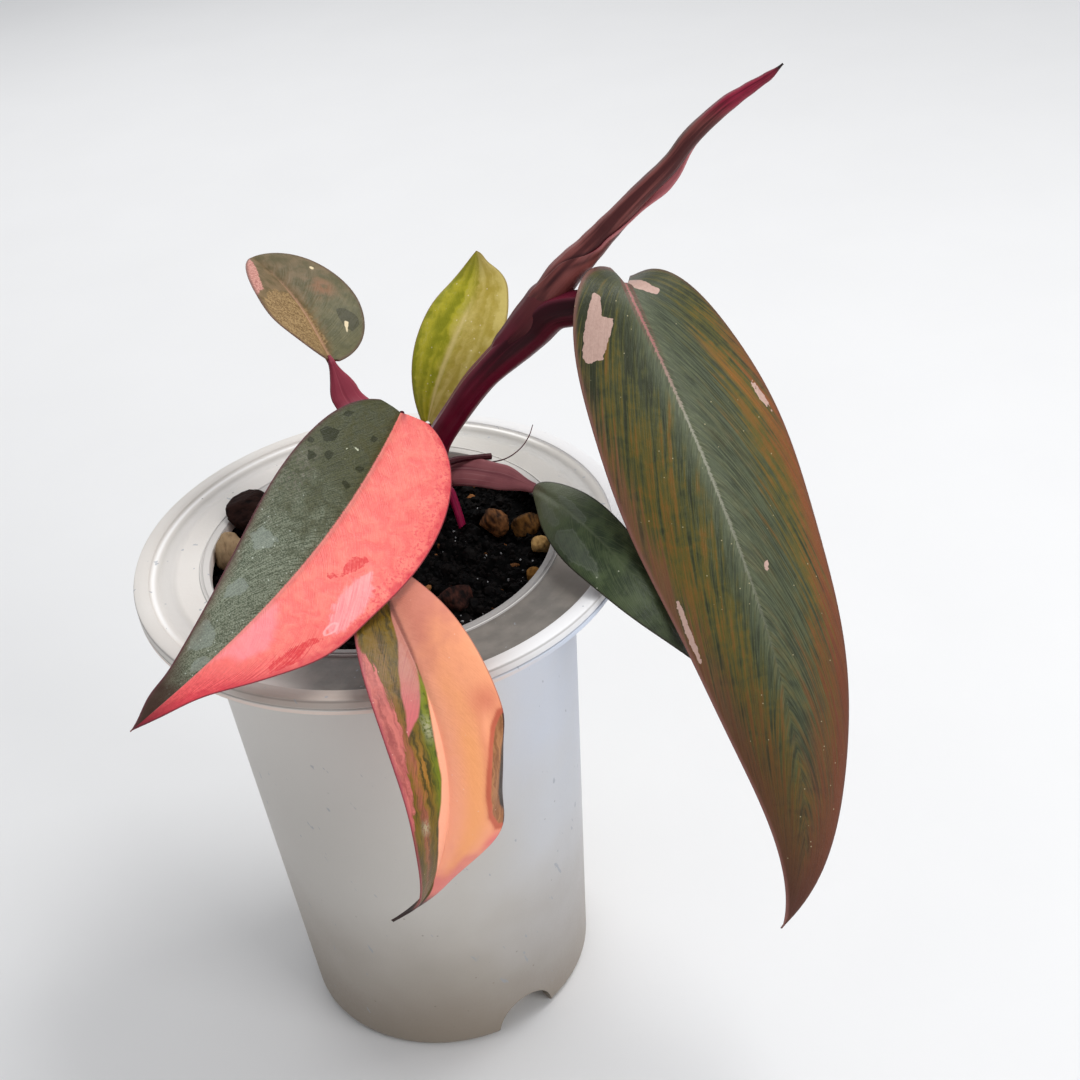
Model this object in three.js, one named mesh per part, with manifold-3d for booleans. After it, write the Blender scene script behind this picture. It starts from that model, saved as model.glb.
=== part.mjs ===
// Fire princess philodendron in a frosted nursery pot.
// Millimetres, +Z up. The origin is the middle of the pot's foot, and the plant faces -Y.

import * as THREE from 'three';
import { mergeVertices } from 'three/addons/utils/BufferGeometryUtils.js';
import Module from 'manifold-3d';

const wasm = await Module();
wasm.setup();

// Driving dimensions
const GAP = 0.3;
const BLADE_THICKNESS = 0.8;

const POT = {
  height: 122,
  rimRadius: 52,
  lipWidth: 3.3,
  lipRise: 0.6,
  skirtDrop: 3.7,
  mouthRadius: 36,
  mouthRing: 2.4,
  ringRise: 0.3,
  wallTopRadius: 40.5,
  footRadius: 33.6,
  footRounding: 2.4,
  wall: 1.1,
  facets: 48,
};

const NOTCH = { count: 3, firstAngle: -65, halfWidth: 7.5, height: 9.2, innerRadius: 26.5 };

const SOIL = { level: 116.4, rings: 7 };

const COLOURS = {
  plastic: 0xc9cac8,
  soil: 0x1d1815,
  bark: 0x7a4a26,
  paleChip: 0xc2a775,
  stem: 0x4a1a25,
  stalk: 0x52182a,
  duskyStalk: 0x6b3a48,
  magenta: 0x9c2a4a,
  darkOlive: 0x4d4a30,
  coral: 0xe8827c,
  peach: 0xe5a078,
  deepGreen: 0x37402f,
  khaki: 0x6e6244,
  lime: 0xa3a44c,
  twig: 0x2c1418,
};

// Leaf blades. path is the midrib's cubic curve from base to tip, face0 and face1 point out of
// the upper side at base and tip, and each pair is for the left and the right half of the blade.
// A bulge widens one side (0 left, 1 right) near a place along the blade, and a tuck bends its
// margin down from start outwards.
const BLADES = {
  big_leaf: {
    path: [[55, -5.7, 174.5], [52.2, -22.6, 180], [91.7, -49.6, 74.5], [65, -70.2, 59.5]],
    face0: [0.25, -0.71, 0.65], face1: [0.07, -0.86, 0.51],
    half: [20.1, 18.8], fold: [-2, -6], curl: [-15, -20],
    rise: 0.8, fall: 1.25, lobe: 10.3, ripple: [0.7, 3.5], grid: [26, 8], colour: 'darkOlive',
  },
  half_moon_leaf: {
    path: [[8.9, -2.4, 153.6], [-6.8, -24.7, 140.5], [-25.4, -41.5, 136], [-48.6, -61.7, 133]],
    face0: [0.26, -0.49, 0.84], face1: [0.35, -0.54, 0.78],
    half: [18.1, 15.1], fold: [10, 26], curl: [-13, -12],
    rise: 0.465, fall: 1.13, lobe: 0, ripple: [0.5, 2.5], grid: [22, 8], colour: 'coral',
    bulges: [
      { side: 0, at: 0.61, reach: 0.1, share: 0.116 }, { side: 0, at: 0.88, reach: 0.09, share: -0.237 },
      { side: 1, at: 0.7, reach: 0.2, share: -0.04 }, { side: 1, at: 0.95, reach: 0.05, share: 0.5 },
    ],
  },
  drooping_leaf: {
    path: [[-1.8, -9.3, 124.4], [-5.7, -44.5, 140], [17.9, -71.2, 115.7], [-7.5, -68.7, 80.8]],
    face0: [-0.39, -0.39, 0.88], face1: [-0.01, -0.83, -0.45],
    half: [12.6, 11.7], fold: [-5, 49], curl: [-22, -2],
    rise: 1.14, fall: 0.835, lobe: 3, ripple: [0.4, 2.5], grid: [22, 8], colour: 'peach',
    bulges: [
      { side: 0, at: 0.81, reach: 0.08, share: 0.24 }, { side: 0, at: 0.93, reach: 0.05, share: -0.26 },
      { side: 1, at: 0.85, reach: 0.1, share: 0.16 },
    ],
    tuck: { side: 0, at: 0.69, reach: 0.1, start: 0.72, turn: -42 },
  },
  dark_leaf: {
    path: [[33.4, 1, 127.2], [33.5, -12.3, 135.5], [44.8, -39, 137.6], [57.8, -38.4, 104.8]],
    face0: [-0.55, -0.47, 0.68], face1: [0.36, -0.34, 0.85],
    half: [5.7, 8], fold: [10, -9], curl: [-14, -18],
    rise: 1.17, fall: 0.99, lobe: 2, ripple: [0.3, 3], grid: [18, 6], colour: 'deepGreen',
  },
  oval_leaf: {
    path: [[-3.5, 19, 155.6], [-5.6, 27.8, 156.8], [-7.4, 35.3, 164.2], [-16.4, 45.5, 169.2]],
    face0: [0.17, -0.36, 0.91], face1: [0.03, -0.4, 0.91],
    half: [12.4, 12.6], fold: [40, 1], curl: [0, -16],
    rise: 0.66, fall: 0.62, lobe: 1, ripple: [0.2, 2], grid: [16, 6], colour: 'khaki',
  },
  lime_leaf: {
    path: [[14.2, 19.2, 136.5], [20.2, 23.5, 155.3], [31.2, 31.6, 156], [31.2, 37.7, 166]],
    face0: [-0.01, -0.61, 0.79], face1: [-0.12, -0.54, 0.83],
    half: [9.6, 9.9], fold: [-12, 10], curl: [-18, -7],
    rise: 0.74, fall: 0.85, lobe: 1, ripple: [0.3, 2], grid: [16, 6], colour: 'lime',
    bulges: [
      { side: 1, at: 0.94, reach: 0.05, share: -0.3 }, { side: 1, at: 0.82, reach: 0.07, share: 0.08 },
    ],
  },
};

// Stalks, stem and roots. width runs across the facing direction, depth along it, and both
// are read off evenly along the route. groove is the channel's share of the depth.
const STALKS = {
  main_stem: {
    route: [[8.5, 12.5, 92], [10.5, 12, 110], [11.8, 10.4, 122], [13.4, 7.9, 132.7]],
    width: [5.6, 6.4, 6.8, 6.4], depth: [5.6, 6.4, 6.8, 6.4], facing: [0, -1, 0], groove: 0,
    steps: 9, colour: 'stem',
  },
  big_leaf_stalk: {
    route: [[13.5, 7.7, 133.2], [15.1, 5.5, 140.3], [20.1, 5, 147.3], [25, 4, 153.6], [31, 2.5, 159.5],
      [37, 1, 164.6], [41, -1, 168.7], [46.6, -3, 170], [50, -4.5, 172.2], [54.6, -5.8, 173.9]],
    width: [6, 6.2, 6.4, 6.2, 5.6, 4], depth: [5.9, 6.2, 6.8, 8.4, 8.4, 4.2],
    facing: [-0.68, 0.2, 0.7], groove: 0.3, steps: 26, colour: 'stalk',
    sheath: {
      route: [[32.6, 2.2, 162.6], [38.6, 1.7, 168.2], [42, 1.7, 172.6]],
      width: [4.6, 6.2, 7.3], depth: [4.6, 6.2, 7.3],
      facing: [-0.68, 0.2, 0.7], groove: 0, steps: 9,
    },
  },
  half_moon_leaf_stalk: {
    route: [[11.5, 7.6, 129.4], [9.4, 4, 139], [8.4, -0.6, 147], [8.8, -2.6, 153.4]],
    width: [4.4, 3.2, 2.6, 2.4], depth: [3.6, 2.8, 2.4, 2.2],
    facing: [0, -1, 0.3], groove: 0.2, steps: 12, colour: 'stalk',
  },
  oval_leaf_stalk: {
    route: [[11, 11.6, 127], [5, 15.5, 138], [-1.3, 18, 145.8], [-2.7, 18.6, 151], [-3.6, 19, 155.5]],
    width: [6.2, 6.8, 6.4, 4.4, 1.5], depth: [3, 2.4, 2, 1.8, 1.5],
    facing: [0.3, -0.75, 0.55], groove: 0.25, steps: 14, colour: 'stalk',
  },
  lime_leaf_stalk: {
    route: [[12.2, 11, 125.6], [13.4, 15.5, 129.6], [14.2, 18.3, 134], [14.2, 19.3, 136.6]],
    width: [4, 3, 2.4, 2.2], depth: [3, 2.4, 2, 1.8],
    facing: [0, -1, 0.4], groove: 0.2, steps: 10, colour: 'stalk',
  },
  drooping_leaf_stalk: {
    route: [[11, 9, 120.6], [7.6, 2.4, 123.8], [2.8, -4, 125.2], [-2, -9.8, 124.5]],
    width: [4.2, 3.4, 2.8, 2.4], depth: [3.2, 2.8, 2.4, 2],
    facing: [0, -0.2, 1], groove: 0.2, steps: 12, colour: 'duskyStalk',
  },
  dark_leaf_stalk: {
    route: [[12.6, 11, 124.6], [17.3, 12.5, 127.4], [26.2, 7.3, 128], [33.6, 1.3, 127.1]],
    width: [5, 7, 6.2, 2.4], depth: [2.6, 1.8, 1.6, 1.4],
    facing: [-0.1, -0.5, 0.85], groove: 0.2, steps: 16, colour: 'duskyStalk',
  },
  dry_stub: {
    route: [[13.2, 11, 130.2], [19.5, 12.6, 130.4], [26.6, 12.8, 129.6]],
    width: [2.2, 1.6, 1.1, 1.5], depth: [2.2, 1.6, 1.1, 1.4], facing: [0, 0, 1], groove: 0,
    steps: 9, colour: 'twig',
  },
  aerial_root: {
    route: [[13.4, 10.9, 125.2], [16.1, 11.1, 124.4], [17.1, 9.9, 121], [17.8, 7.8, 116.4], [17.9, 7, 110.5]],
    width: [2, 1.9, 1.7, 0.9], depth: [2, 1.9, 1.7, 0.9], facing: [1, 0, 0.2], groove: 0,
    steps: 12, colour: 'magenta',
  },
};

const NEW_LEAF = {
  route: [[37.6, 1.4, 168.2], [43.5, 1.8, 174], [50, 2.5, 179.2], [56.4, 2.9, 184.6], [63, 3.3, 189.7],
    [67.3, 3.5, 193.3], [71.1, 3.5, 197.4], [77.6, 3.5, 202.6], [82.5, 3.3, 205.3], [87.3, 2.8, 208],
    [89.4, 2.5, 209.7]],
  diameter: [4.6, 5.3, 5.2, 4.4, 4.8, 3.8, 3.4, 2.6, 0.8],
  overlap: 0.12,
  firstEdge: 55,
  turns: -0.65,
  sides: 12,
  steps: 32,
  facing: [-0.68, 0.2, 0.7],
};

const CHIPS = [
  { name: 'bark_chip_front', at: [12.6, -19.3, 117.2], size: [8, 6, 4.4], turn: 0.4, colour: 'bark' },
  { name: 'bark_chip_right', at: [24.5, 5.6, 117.6], size: [6, 9, 5], turn: 0.3, colour: 'bark' },
  { name: 'bark_chip_edge', at: [31, 2.4, 117.4], size: [5, 6.6, 4.4], turn: -0.5, colour: 'bark' },
  { name: 'bark_chip_back', at: [-26, 18.8, 120.7], size: [8, 8.6, 8], turn: 0.8, colour: 'soil' },
  { name: 'pumice_chip_edge', at: [32.8, -5.8, 117.4], size: [4, 4.2, 3.6], turn: 0.2, colour: 'paleChip' },
  { name: 'pumice_chip_front', at: [29.3, -14.5, 117.1], size: [3.8, 3.4, 3], turn: 1.1, colour: 'paleChip' },
  { name: 'pumice_chip_left', at: [-31.2, 9, 119.1], size: [4.4, 8, 5], turn: -0.35, colour: 'paleChip' },
];

// Solids: from a mesh and back
function toSolid(geometry) {
  const bare = geometry.clone();
  bare.deleteAttribute('normal');
  bare.deleteAttribute('uv');
  const merged = mergeVertices(bare, 1e-4);
  return new wasm.Manifold(new wasm.Mesh({
    numProp: 3,
    vertProperties: new Float32Array(merged.attributes.position.array),
    triVerts: new Uint32Array(merged.index.array),
  }));
}

function toGeometry(solid) {
  const mesh = solid.getMesh();
  const geometry = new THREE.BufferGeometry();
  geometry.setAttribute('position', new THREE.BufferAttribute(mesh.vertProperties, 3));
  geometry.setIndex(new THREE.BufferAttribute(mesh.triVerts, 1));
  geometry.computeVertexNormals();
  return geometry;
}

function largestBody(solid) {
  return solid.decompose().sort((a, b) => b.volume() - a.volume())[0];
}

function carve(solid, cutters) {
  return largestBody(cutters.reduce((rest, cutter) => rest.subtract(cutter), solid));
}

function closedMesh(points, triangles) {
  const geometry = new THREE.BufferGeometry();
  geometry.setAttribute('position', new THREE.Float32BufferAttribute(points.flatMap((p) => p.toArray()), 3));
  geometry.setIndex(triangles.flat());
  geometry.computeVertexNormals();
  return geometry;
}

// A smooth reading of evenly spaced values at t from 0 to 1
function along(values, t) {
  const place = t * (values.length - 1);
  const index = Math.min(Math.floor(place), values.length - 2);
  const share = THREE.MathUtils.smoothstep(place - index, 0, 1);
  return THREE.MathUtils.lerp(values[index], values[index + 1], share);
}

function vector(coordinates) {
  return new THREE.Vector3(...coordinates);
}

// Leaf blade: a midrib curve with two arched halves
function bladeWidth(leaf, t) {
  const widest = leaf.rise / (leaf.rise + leaf.fall);
  return (t / widest) ** leaf.rise * ((1 - t) / (1 - widest)) ** leaf.fall;
}

// How much of a bulge or tuck is felt at t: 1 at its middle, fading a reach away
function nearness(bump, side, t, power) {
  const distance = Math.abs((t - bump.at) / bump.reach);
  return bump.side === side ? Math.exp(-(distance ** power)) : 0;
}

function bladePoint(leaf, midrib, t, v) {
  const side = v < 0 ? 0 : 1;
  const reach = Math.abs(v);
  const tangent = midrib.getTangent(t);
  const face = vector(leaf.face0).lerp(vector(leaf.face1), t);
  face.addScaledVector(tangent, -face.dot(tangent)).normalize();
  const across = tangent.clone().cross(face);
  const fold = THREE.MathUtils.degToRad(leaf.fold[side]);
  const curl = THREE.MathUtils.degToRad(leaf.curl[side]) || 1e-4;
  const bulges = leaf.bulges ?? [];
  const swell = bulges.reduce((sum, bulge) => sum + bulge.share * nearness(bulge, side, t, 2), 1);
  const half = leaf.half[side] * bladeWidth(leaf, t) * swell;
  const start = leaf.tuck ? Math.min(leaf.tuck.start, reach) : reach;
  const turn = leaf.tuck ? THREE.MathUtils.degToRad(leaf.tuck.turn) * nearness(leaf.tuck, side, t, 4) : 0;
  const arch = fold + curl * start;
  const bent = arch + turn;
  const outward = (Math.sin(arch) - Math.sin(fold)) / curl + (reach - start) * Math.cos(bent);
  const upward = (Math.cos(fold) - Math.cos(arch)) / curl + (reach - start) * Math.sin(bent);
  const [height, waves] = leaf.ripple;
  const wave = Math.sin(2 * Math.PI * (waves * t + 0.3 * side));
  const ripple = height * reach ** 2 * wave * Math.sin(Math.PI * t);
  return midrib.getPoint(t)
    .addScaledVector(across, Math.sign(v) * outward * half)
    .addScaledVector(face, upward * half + ripple)
    .addScaledVector(tangent, -leaf.lobe * (1 - t) ** 8 * reach ** 1.5);
}

function bladeSolid(shape, thickness, extra = 0) {
  const leaf = { ...shape, half: shape.half.map((half) => half + extra) };
  const midrib = new THREE.CubicBezierCurve3(...leaf.path.map(vector));
  const [rows, columns] = leaf.grid;
  const first = 0.02;
  const last = 0.975;
  const step = 1e-3;
  const points = [];
  for (const side of [1, -1]) {
    for (let i = 0; i <= rows; i++) {
      const t = first + (last - first) * i / rows;
      for (let j = 0; j <= columns; j++) {
        const v = -1 + 2 * j / columns;
        const inner = v - Math.sign(v || 1) * step;
        const alongBlade = bladePoint(leaf, midrib, t + step, v).sub(bladePoint(leaf, midrib, t - step, v));
        const acrossBlade = bladePoint(leaf, midrib, t, Math.max(v, inner))
          .sub(bladePoint(leaf, midrib, t, Math.min(v, inner)));
        const normal = acrossBlade.cross(alongBlade).normalize();
        points.push(bladePoint(leaf, midrib, t, v)
          .addScaledVector(normal, side * (thickness / 2 + extra))
          .addScaledVector(midrib.getTangent(t), i ? 0 : -extra));
      }
    }
  }
  const tipFace = vector(leaf.face1).normalize();
  for (const side of [1, -1]) {
    points.push(midrib.getPoint(1)
      .addScaledVector(tipFace, side * (thickness / 4 + extra))
      .addScaledVector(midrib.getTangent(1), extra));
  }
  const width = columns + 1;
  const under = (rows + 1) * width;
  const topTip = 2 * under;
  const underTip = topTip + 1;
  const triangles = [];
  for (let i = 0; i < rows; i++) {
    for (let j = 0; j < columns; j++) {
      const a = i * width + j;
      const b = a + 1;
      const c = a + width;
      const d = c + 1;
      triangles.push([a, b, d], [a, d, c]);
      triangles.push([under + a, under + d, under + b], [under + a, under + c, under + d]);
    }
    const left = i * width;
    const right = left + columns;
    triangles.push([left, left + width, under + left + width], [left, under + left + width, under + left]);
    triangles.push([right, under + right, under + right + width]);
    triangles.push([right, under + right + width, right + width]);
  }
  const end = rows * width;
  for (let j = 0; j < columns; j++) {
    triangles.push([j, under + j, under + j + 1], [j, under + j + 1, j + 1]);
    triangles.push([end + j, end + j + 1, topTip], [under + end + j, underTip, under + end + j + 1]);
  }
  triangles.push([end, topTip, underTip], [end, underTip, under + end]);
  triangles.push([end + columns, underTip, topTip], [end + columns, under + end + columns, underTip]);
  return toSolid(closedMesh(points, triangles));
}

// A closed loft along a route: ring gives the section's outline, extra lengthens both ends
function loft(route, facing, steps, sides, ring, extra = 0) {
  const curve = new THREE.CatmullRomCurve3(route.map(vector), false, 'centripetal');
  const points = [];
  for (let i = 0; i <= steps; i++) {
    const t = i / steps;
    const tangent = curve.getTangentAt(t);
    const centre = curve.getPointAt(t);
    if (i === 0) centre.addScaledVector(tangent, -extra);
    if (i === steps) centre.addScaledVector(tangent, extra);
    const face = vector(facing);
    face.addScaledVector(tangent, -face.dot(tangent)).normalize();
    const across = tangent.clone().cross(face);
    for (let k = 0; k < sides; k++) {
      const [x, y] = ring(t, 2 * Math.PI * k / sides);
      points.push(centre.clone().addScaledVector(across, x).addScaledVector(face, y));
    }
  }
  const start = points.push(curve.getPointAt(0).addScaledVector(curve.getTangentAt(0), -extra)) - 1;
  const end = points.push(curve.getPointAt(1).addScaledVector(curve.getTangentAt(1), extra)) - 1;
  const triangles = [];
  for (let k = 0; k < sides; k++) {
    const next = (k + 1) % sides;
    for (let i = 0; i < steps; i++) {
      const a = i * sides + k;
      const b = i * sides + next;
      triangles.push([a, a + sides, b + sides], [a, b + sides, b]);
    }
    triangles.push([start, k, next], [end, steps * sides + next, steps * sides + k]);
  }
  return toSolid(closedMesh(points, triangles));
}

function stalkSolid(stalk, extra = 0) {
  const ring = (t, angle) => {
    const halfWidth = along(stalk.width, t) / 2 + extra;
    const halfDepth = along(stalk.depth, t) / 2 + extra;
    const channel = stalk.groove * halfDepth * Math.max(0, Math.sin(angle)) ** 4;
    return [halfWidth * Math.cos(angle), halfDepth * Math.sin(angle) - (extra ? 0 : channel)];
  };
  const solid = loft(stalk.route, stalk.facing, stalk.steps, 10, ring, extra);
  return stalk.sheath ? solid.add(stalkSolid(stalk.sheath, extra)) : solid;
}

// The rolled leaf's outline is a spiral whose free edge winds round it
function newLeafSolid(extra = 0) {
  const ring = (t, angle) => {
    const edge = THREE.MathUtils.degToRad(NEW_LEAF.firstEdge + 360 * NEW_LEAF.turns * t);
    const lap = THREE.MathUtils.euclideanModulo(angle - edge, 2 * Math.PI) / (2 * Math.PI);
    const swell = extra ? 1 : lap - 0.5;
    const radius = along(NEW_LEAF.diameter, t) / 2 * (1 + NEW_LEAF.overlap * swell) + extra;
    return [radius * Math.cos(angle), radius * Math.sin(angle)];
  };
  return loft(NEW_LEAF.route, NEW_LEAF.facing, NEW_LEAF.steps, NEW_LEAF.sides, ring, extra);
}

// Pot: one moulded piece with a flat brim between a raised lip and a low ring round the mouth,
// a skirt and arched notches in the foot
function wallRadius(z) {
  return THREE.MathUtils.lerp(POT.footRadius, POT.wallTopRadius, z / POT.height);
}

function lathed(profile) {
  const lathe = new THREE.LatheGeometry(profile.map(([r, z]) => new THREE.Vector2(r, z)), POT.facets);
  return toSolid(lathe.rotateX(Math.PI / 2));
}

function roundedFoot(radius, floor, rounding) {
  return [0, 30, 60, 90].map((degrees) => {
    const angle = THREE.MathUtils.degToRad(degrees);
    return [radius - rounding * (1 - Math.sin(angle)), floor + rounding * (1 - Math.cos(angle))];
  });
}

function notchCutter(angle, extra) {
  const arch = new THREE.Shape();
  arch.absellipse(0, 0, NOTCH.halfWidth + extra, NOTCH.height + extra, 0, 2 * Math.PI);
  const inner = NOTCH.innerRadius - extra;
  const depth = POT.rimRadius - inner;
  const cutter = new THREE.ExtrudeGeometry(arch, { depth, bevelEnabled: false, curveSegments: 12 });
  cutter.rotateX(Math.PI / 2).rotateZ(Math.PI / 2).translate(inner, 0, 0);
  return toSolid(cutter.rotateZ(THREE.MathUtils.degToRad(angle)));
}

function notchCutters(extra) {
  const angles = Array.from({ length: NOTCH.count }, (_, i) => NOTCH.firstAngle + i * 360 / NOTCH.count);
  return angles.map((angle) => notchCutter(angle, extra));
}

function potSolid() {
  const brimTop = POT.height - POT.lipRise;
  const brimUnder = brimTop - POT.wall;
  const lipInner = POT.rimRadius - POT.lipWidth;
  const skirtFoot = POT.height - POT.skirtDrop;
  const beadFoot = brimUnder - 1;
  const body = lathed([
    [0, 0],
    ...roundedFoot(wallRadius(POT.footRounding), 0, POT.footRounding),
    [wallRadius(brimUnder), brimUnder],
    [POT.rimRadius - POT.wall, brimUnder],
    [POT.rimRadius - POT.wall, skirtFoot],
    [POT.rimRadius - 0.1, skirtFoot],
    [POT.rimRadius, POT.height - 0.5],
    [POT.rimRadius - 0.5, POT.height],
    [lipInner + 0.4, POT.height],
    [lipInner, brimTop],
    [POT.mouthRadius + POT.mouthRing, brimTop],
    [POT.mouthRadius + POT.mouthRing - 0.4, brimTop + POT.ringRise],
    [POT.mouthRadius + 0.5, brimTop + POT.ringRise],
    [POT.mouthRadius, brimTop - 0.2],
    [POT.mouthRadius, beadFoot],
    [0, beadFoot],
  ]);
  const bead = lathed([[0, beadFoot - 0.8], [wallRadius(beadFoot) - POT.wall, beadFoot - 0.8],
    [POT.mouthRadius, beadFoot], [POT.mouthRadius, POT.height], [0, POT.height]]);
  const room = lathed([
    [0, POT.wall],
    ...roundedFoot(wallRadius(POT.footRounding) - POT.wall, POT.wall, POT.footRounding - POT.wall),
    [wallRadius(beadFoot - 0.8) - POT.wall, beadFoot - 0.8],
    [0, beadFoot - 0.8],
  ]);
  const hollow = notchCutters(POT.wall).reduce((rest, cutter) => rest.subtract(cutter), room).add(bead);
  return carve(body, [hollow, ...notchCutters(0)]);
}

// Potting mix: fills the pot up to a lumpy top, which dips where it meets the wall
function soilHeight(x, y) {
  const broad = 0.7 * Math.sin(0.41 * x + 1.3) * Math.cos(0.37 * y - 0.4);
  const lumps = broad + 0.45 * Math.sin(0.83 * x + 0.61 * y + 2);
  const bank = 2.2 * Math.exp(-((x + 28) ** 2 + (y - 15) ** 2) / 200);
  const dip = 1.4 * THREE.MathUtils.smoothstep(Math.hypot(x, y), 32, 38);
  return SOIL.level + lumps + bank - dip;
}

function soilSolid(holes) {
  const floor = POT.wall + GAP;
  const inset = POT.wall + GAP + 0.1;
  const sectors = POT.facets;
  const points = [];
  const addRing = (radius, height) => {
    for (let k = 0; k < sectors; k++) {
      const angle = 2 * Math.PI * k / sectors;
      const x = radius * Math.cos(angle);
      const y = radius * Math.sin(angle);
      points.push(new THREE.Vector3(x, y, height ?? soilHeight(x, y)));
    }
  };
  addRing(wallRadius(floor) - inset - POT.footRounding, floor);
  addRing(wallRadius(POT.footRounding + floor) - inset, floor + POT.footRounding);
  for (let i = SOIL.rings; i > 0; i--) {
    addRing((wallRadius(SOIL.level) - inset) * i / SOIL.rings);
  }
  const rings = points.length / sectors;
  const under = points.push(new THREE.Vector3(0, 0, floor)) - 1;
  const top = points.push(new THREE.Vector3(0, 0, soilHeight(0, 0))) - 1;
  const triangles = [];
  for (let k = 0; k < sectors; k++) {
    const next = (k + 1) % sectors;
    for (let i = 0; i < rings - 1; i++) {
      const a = i * sectors + k;
      const b = i * sectors + next;
      triangles.push([a, b, b + sectors], [a, b + sectors, a + sectors]);
    }
    triangles.push([under, next, k], [top, (rings - 1) * sectors + k, (rings - 1) * sectors + next]);
  }
  return carve(toSolid(closedMesh(points, triangles)), [...holes, ...notchCutters(POT.wall + GAP)]);
}

// A loose chip: a ball of flat faces, uneven by a seeded draw
function chipSolid(chip, seed, extra = 0) {
  const ball = new THREE.IcosahedronGeometry(1, 1);
  ball.deleteAttribute('normal');
  ball.deleteAttribute('uv');
  const rough = mergeVertices(ball, 1e-4);
  const position = rough.attributes.position;
  for (let i = 0; i < position.count; i++) {
    const draw = THREE.MathUtils.euclideanModulo(Math.sin(12.9898 * (i + 1) + 78.233 * seed) * 43758.5453, 1);
    const reach = 0.84 + 0.16 * draw;
    const corner = new THREE.Vector3().fromBufferAttribute(position, i).multiplyScalar(reach);
    position.setXYZ(i, ...corner.toArray());
  }
  rough.scale(...chip.size.map((side) => side / 2 + extra)).rotateZ(chip.turn).translate(...chip.at);
  return toSolid(rough);
}

// Assembly
const part = new THREE.Group();

function place(name, solid, colour, roughness) {
  const material = new THREE.MeshStandardMaterial({ color: COLOURS[colour], roughness, metalness: 0 });
  const mesh = new THREE.Mesh(toGeometry(solid), material);
  mesh.name = name;
  part.add(mesh);
}

const spareBlades = Object.values(BLADES).map((leaf) => bladeSolid(leaf, BLADE_THICKNESS, GAP));
const spareNewLeaf = newLeafSolid(GAP);

place('pot', potSolid(), 'plastic', 0.35);

for (const [name, leaf] of Object.entries(BLADES)) {
  place(name, bladeSolid(leaf, BLADE_THICKNESS), leaf.colour, 0.4);
}
place('new_leaf', newLeafSolid(), 'stalk', 0.4);

const spareStalks = [];
for (const [name, stalk] of Object.entries(STALKS)) {
  place(name, carve(stalkSolid(stalk), [...spareStalks, ...spareBlades, spareNewLeaf]), stalk.colour, 0.45);
  spareStalks.push(stalkSolid(stalk, GAP));
}

CHIPS.forEach((chip, seed) => place(chip.name, chipSolid(chip, seed), chip.colour, 0.85));

const spareChips = CHIPS.map((chip, seed) => chipSolid(chip, seed, GAP));
place('potting_mix', soilSolid([...spareStalks, ...spareChips]), 'soil', 0.95);

export default part;
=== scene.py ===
import math

import bmesh
import bpy
import numpy as np
from mathutils import Matrix, Vector, noise


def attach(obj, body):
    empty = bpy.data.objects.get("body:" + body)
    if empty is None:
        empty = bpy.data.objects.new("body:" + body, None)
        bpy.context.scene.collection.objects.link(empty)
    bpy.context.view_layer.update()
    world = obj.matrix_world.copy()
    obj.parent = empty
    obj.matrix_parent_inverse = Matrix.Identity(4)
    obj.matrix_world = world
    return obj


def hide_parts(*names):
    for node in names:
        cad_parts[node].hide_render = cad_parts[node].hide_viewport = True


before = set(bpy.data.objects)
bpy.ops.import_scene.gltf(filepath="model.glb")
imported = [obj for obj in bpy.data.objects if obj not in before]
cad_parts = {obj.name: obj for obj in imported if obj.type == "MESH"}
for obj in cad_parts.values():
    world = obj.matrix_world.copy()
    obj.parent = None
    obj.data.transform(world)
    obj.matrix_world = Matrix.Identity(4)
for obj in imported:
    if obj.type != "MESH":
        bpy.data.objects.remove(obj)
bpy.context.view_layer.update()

mm = 0.001


# Shader and geometry trees


def findSocket(sockets, name):
    if isinstance(name, int):
        return sockets[name]
    return next(s for s in sockets if s.enabled and name in (s.name, s.identifier))


class Wire:
    # one socket of a node tree; arithmetic on it adds Math nodes
    def __init__(self, tree, socket=None):
        self.tree = tree
        self.socket = socket

    def node(self, kind, settings=None, sockets=None, out=0):
        made = self.tree.nodes.new(kind)
        for name, value in (settings or {}).items():
            setattr(made, name, value)
        for name, value in (sockets or {}).items():
            place = findSocket(made.inputs, name)
            if isinstance(value, Wire):
                self.tree.links.new(value.socket, place)
            else:
                place.default_value = value
        return Wire(self.tree, findSocket(made.outputs, out) if len(made.outputs) else None)

    def other(self, out):
        # another output of the same node
        return Wire(self.tree, findSocket(self.socket.node.outputs, out))

    def math(self, operation, *others):
        return self.node("ShaderNodeMath", {"operation": operation}, dict(enumerate((self, *others))))

    def vectorMath(self, operation, value):
        return self.node("ShaderNodeVectorMath", {"operation": operation}, {0: self, 1: value}, "Vector")

    def scaled(self, factor):
        sockets = {"Vector": self, "Scale": factor}
        return self.node("ShaderNodeVectorMath", {"operation": "SCALE"}, sockets, "Vector")

    def split(self):
        x = self.node("ShaderNodeSeparateXYZ", {}, {"Vector": self}, "X")
        return x, x.other("Y"), x.other("Z")

    def __add__(self, value):
        return self.math("ADD", value)

    __radd__ = __add__

    def __mul__(self, value):
        return self.math("MULTIPLY", value)

    __rmul__ = __mul__

    def __sub__(self, value):
        return self.math("SUBTRACT", value)

    def __rsub__(self, value):
        return self.node("ShaderNodeMath", {"operation": "SUBTRACT"}, {0: value, 1: self})

    def __abs__(self):
        return self.math("ABSOLUTE")


def tone(red, green, blue):
    # a screen colour, 0 to 255 a channel, as the linear colour that a shader takes
    def linear(value):
        share = value / 255
        return share / 12.92 if share <= 0.04045 else ((share + 0.055) / 1.055) ** 2.4
    return (linear(red), linear(green), linear(blue), 1)


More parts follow.
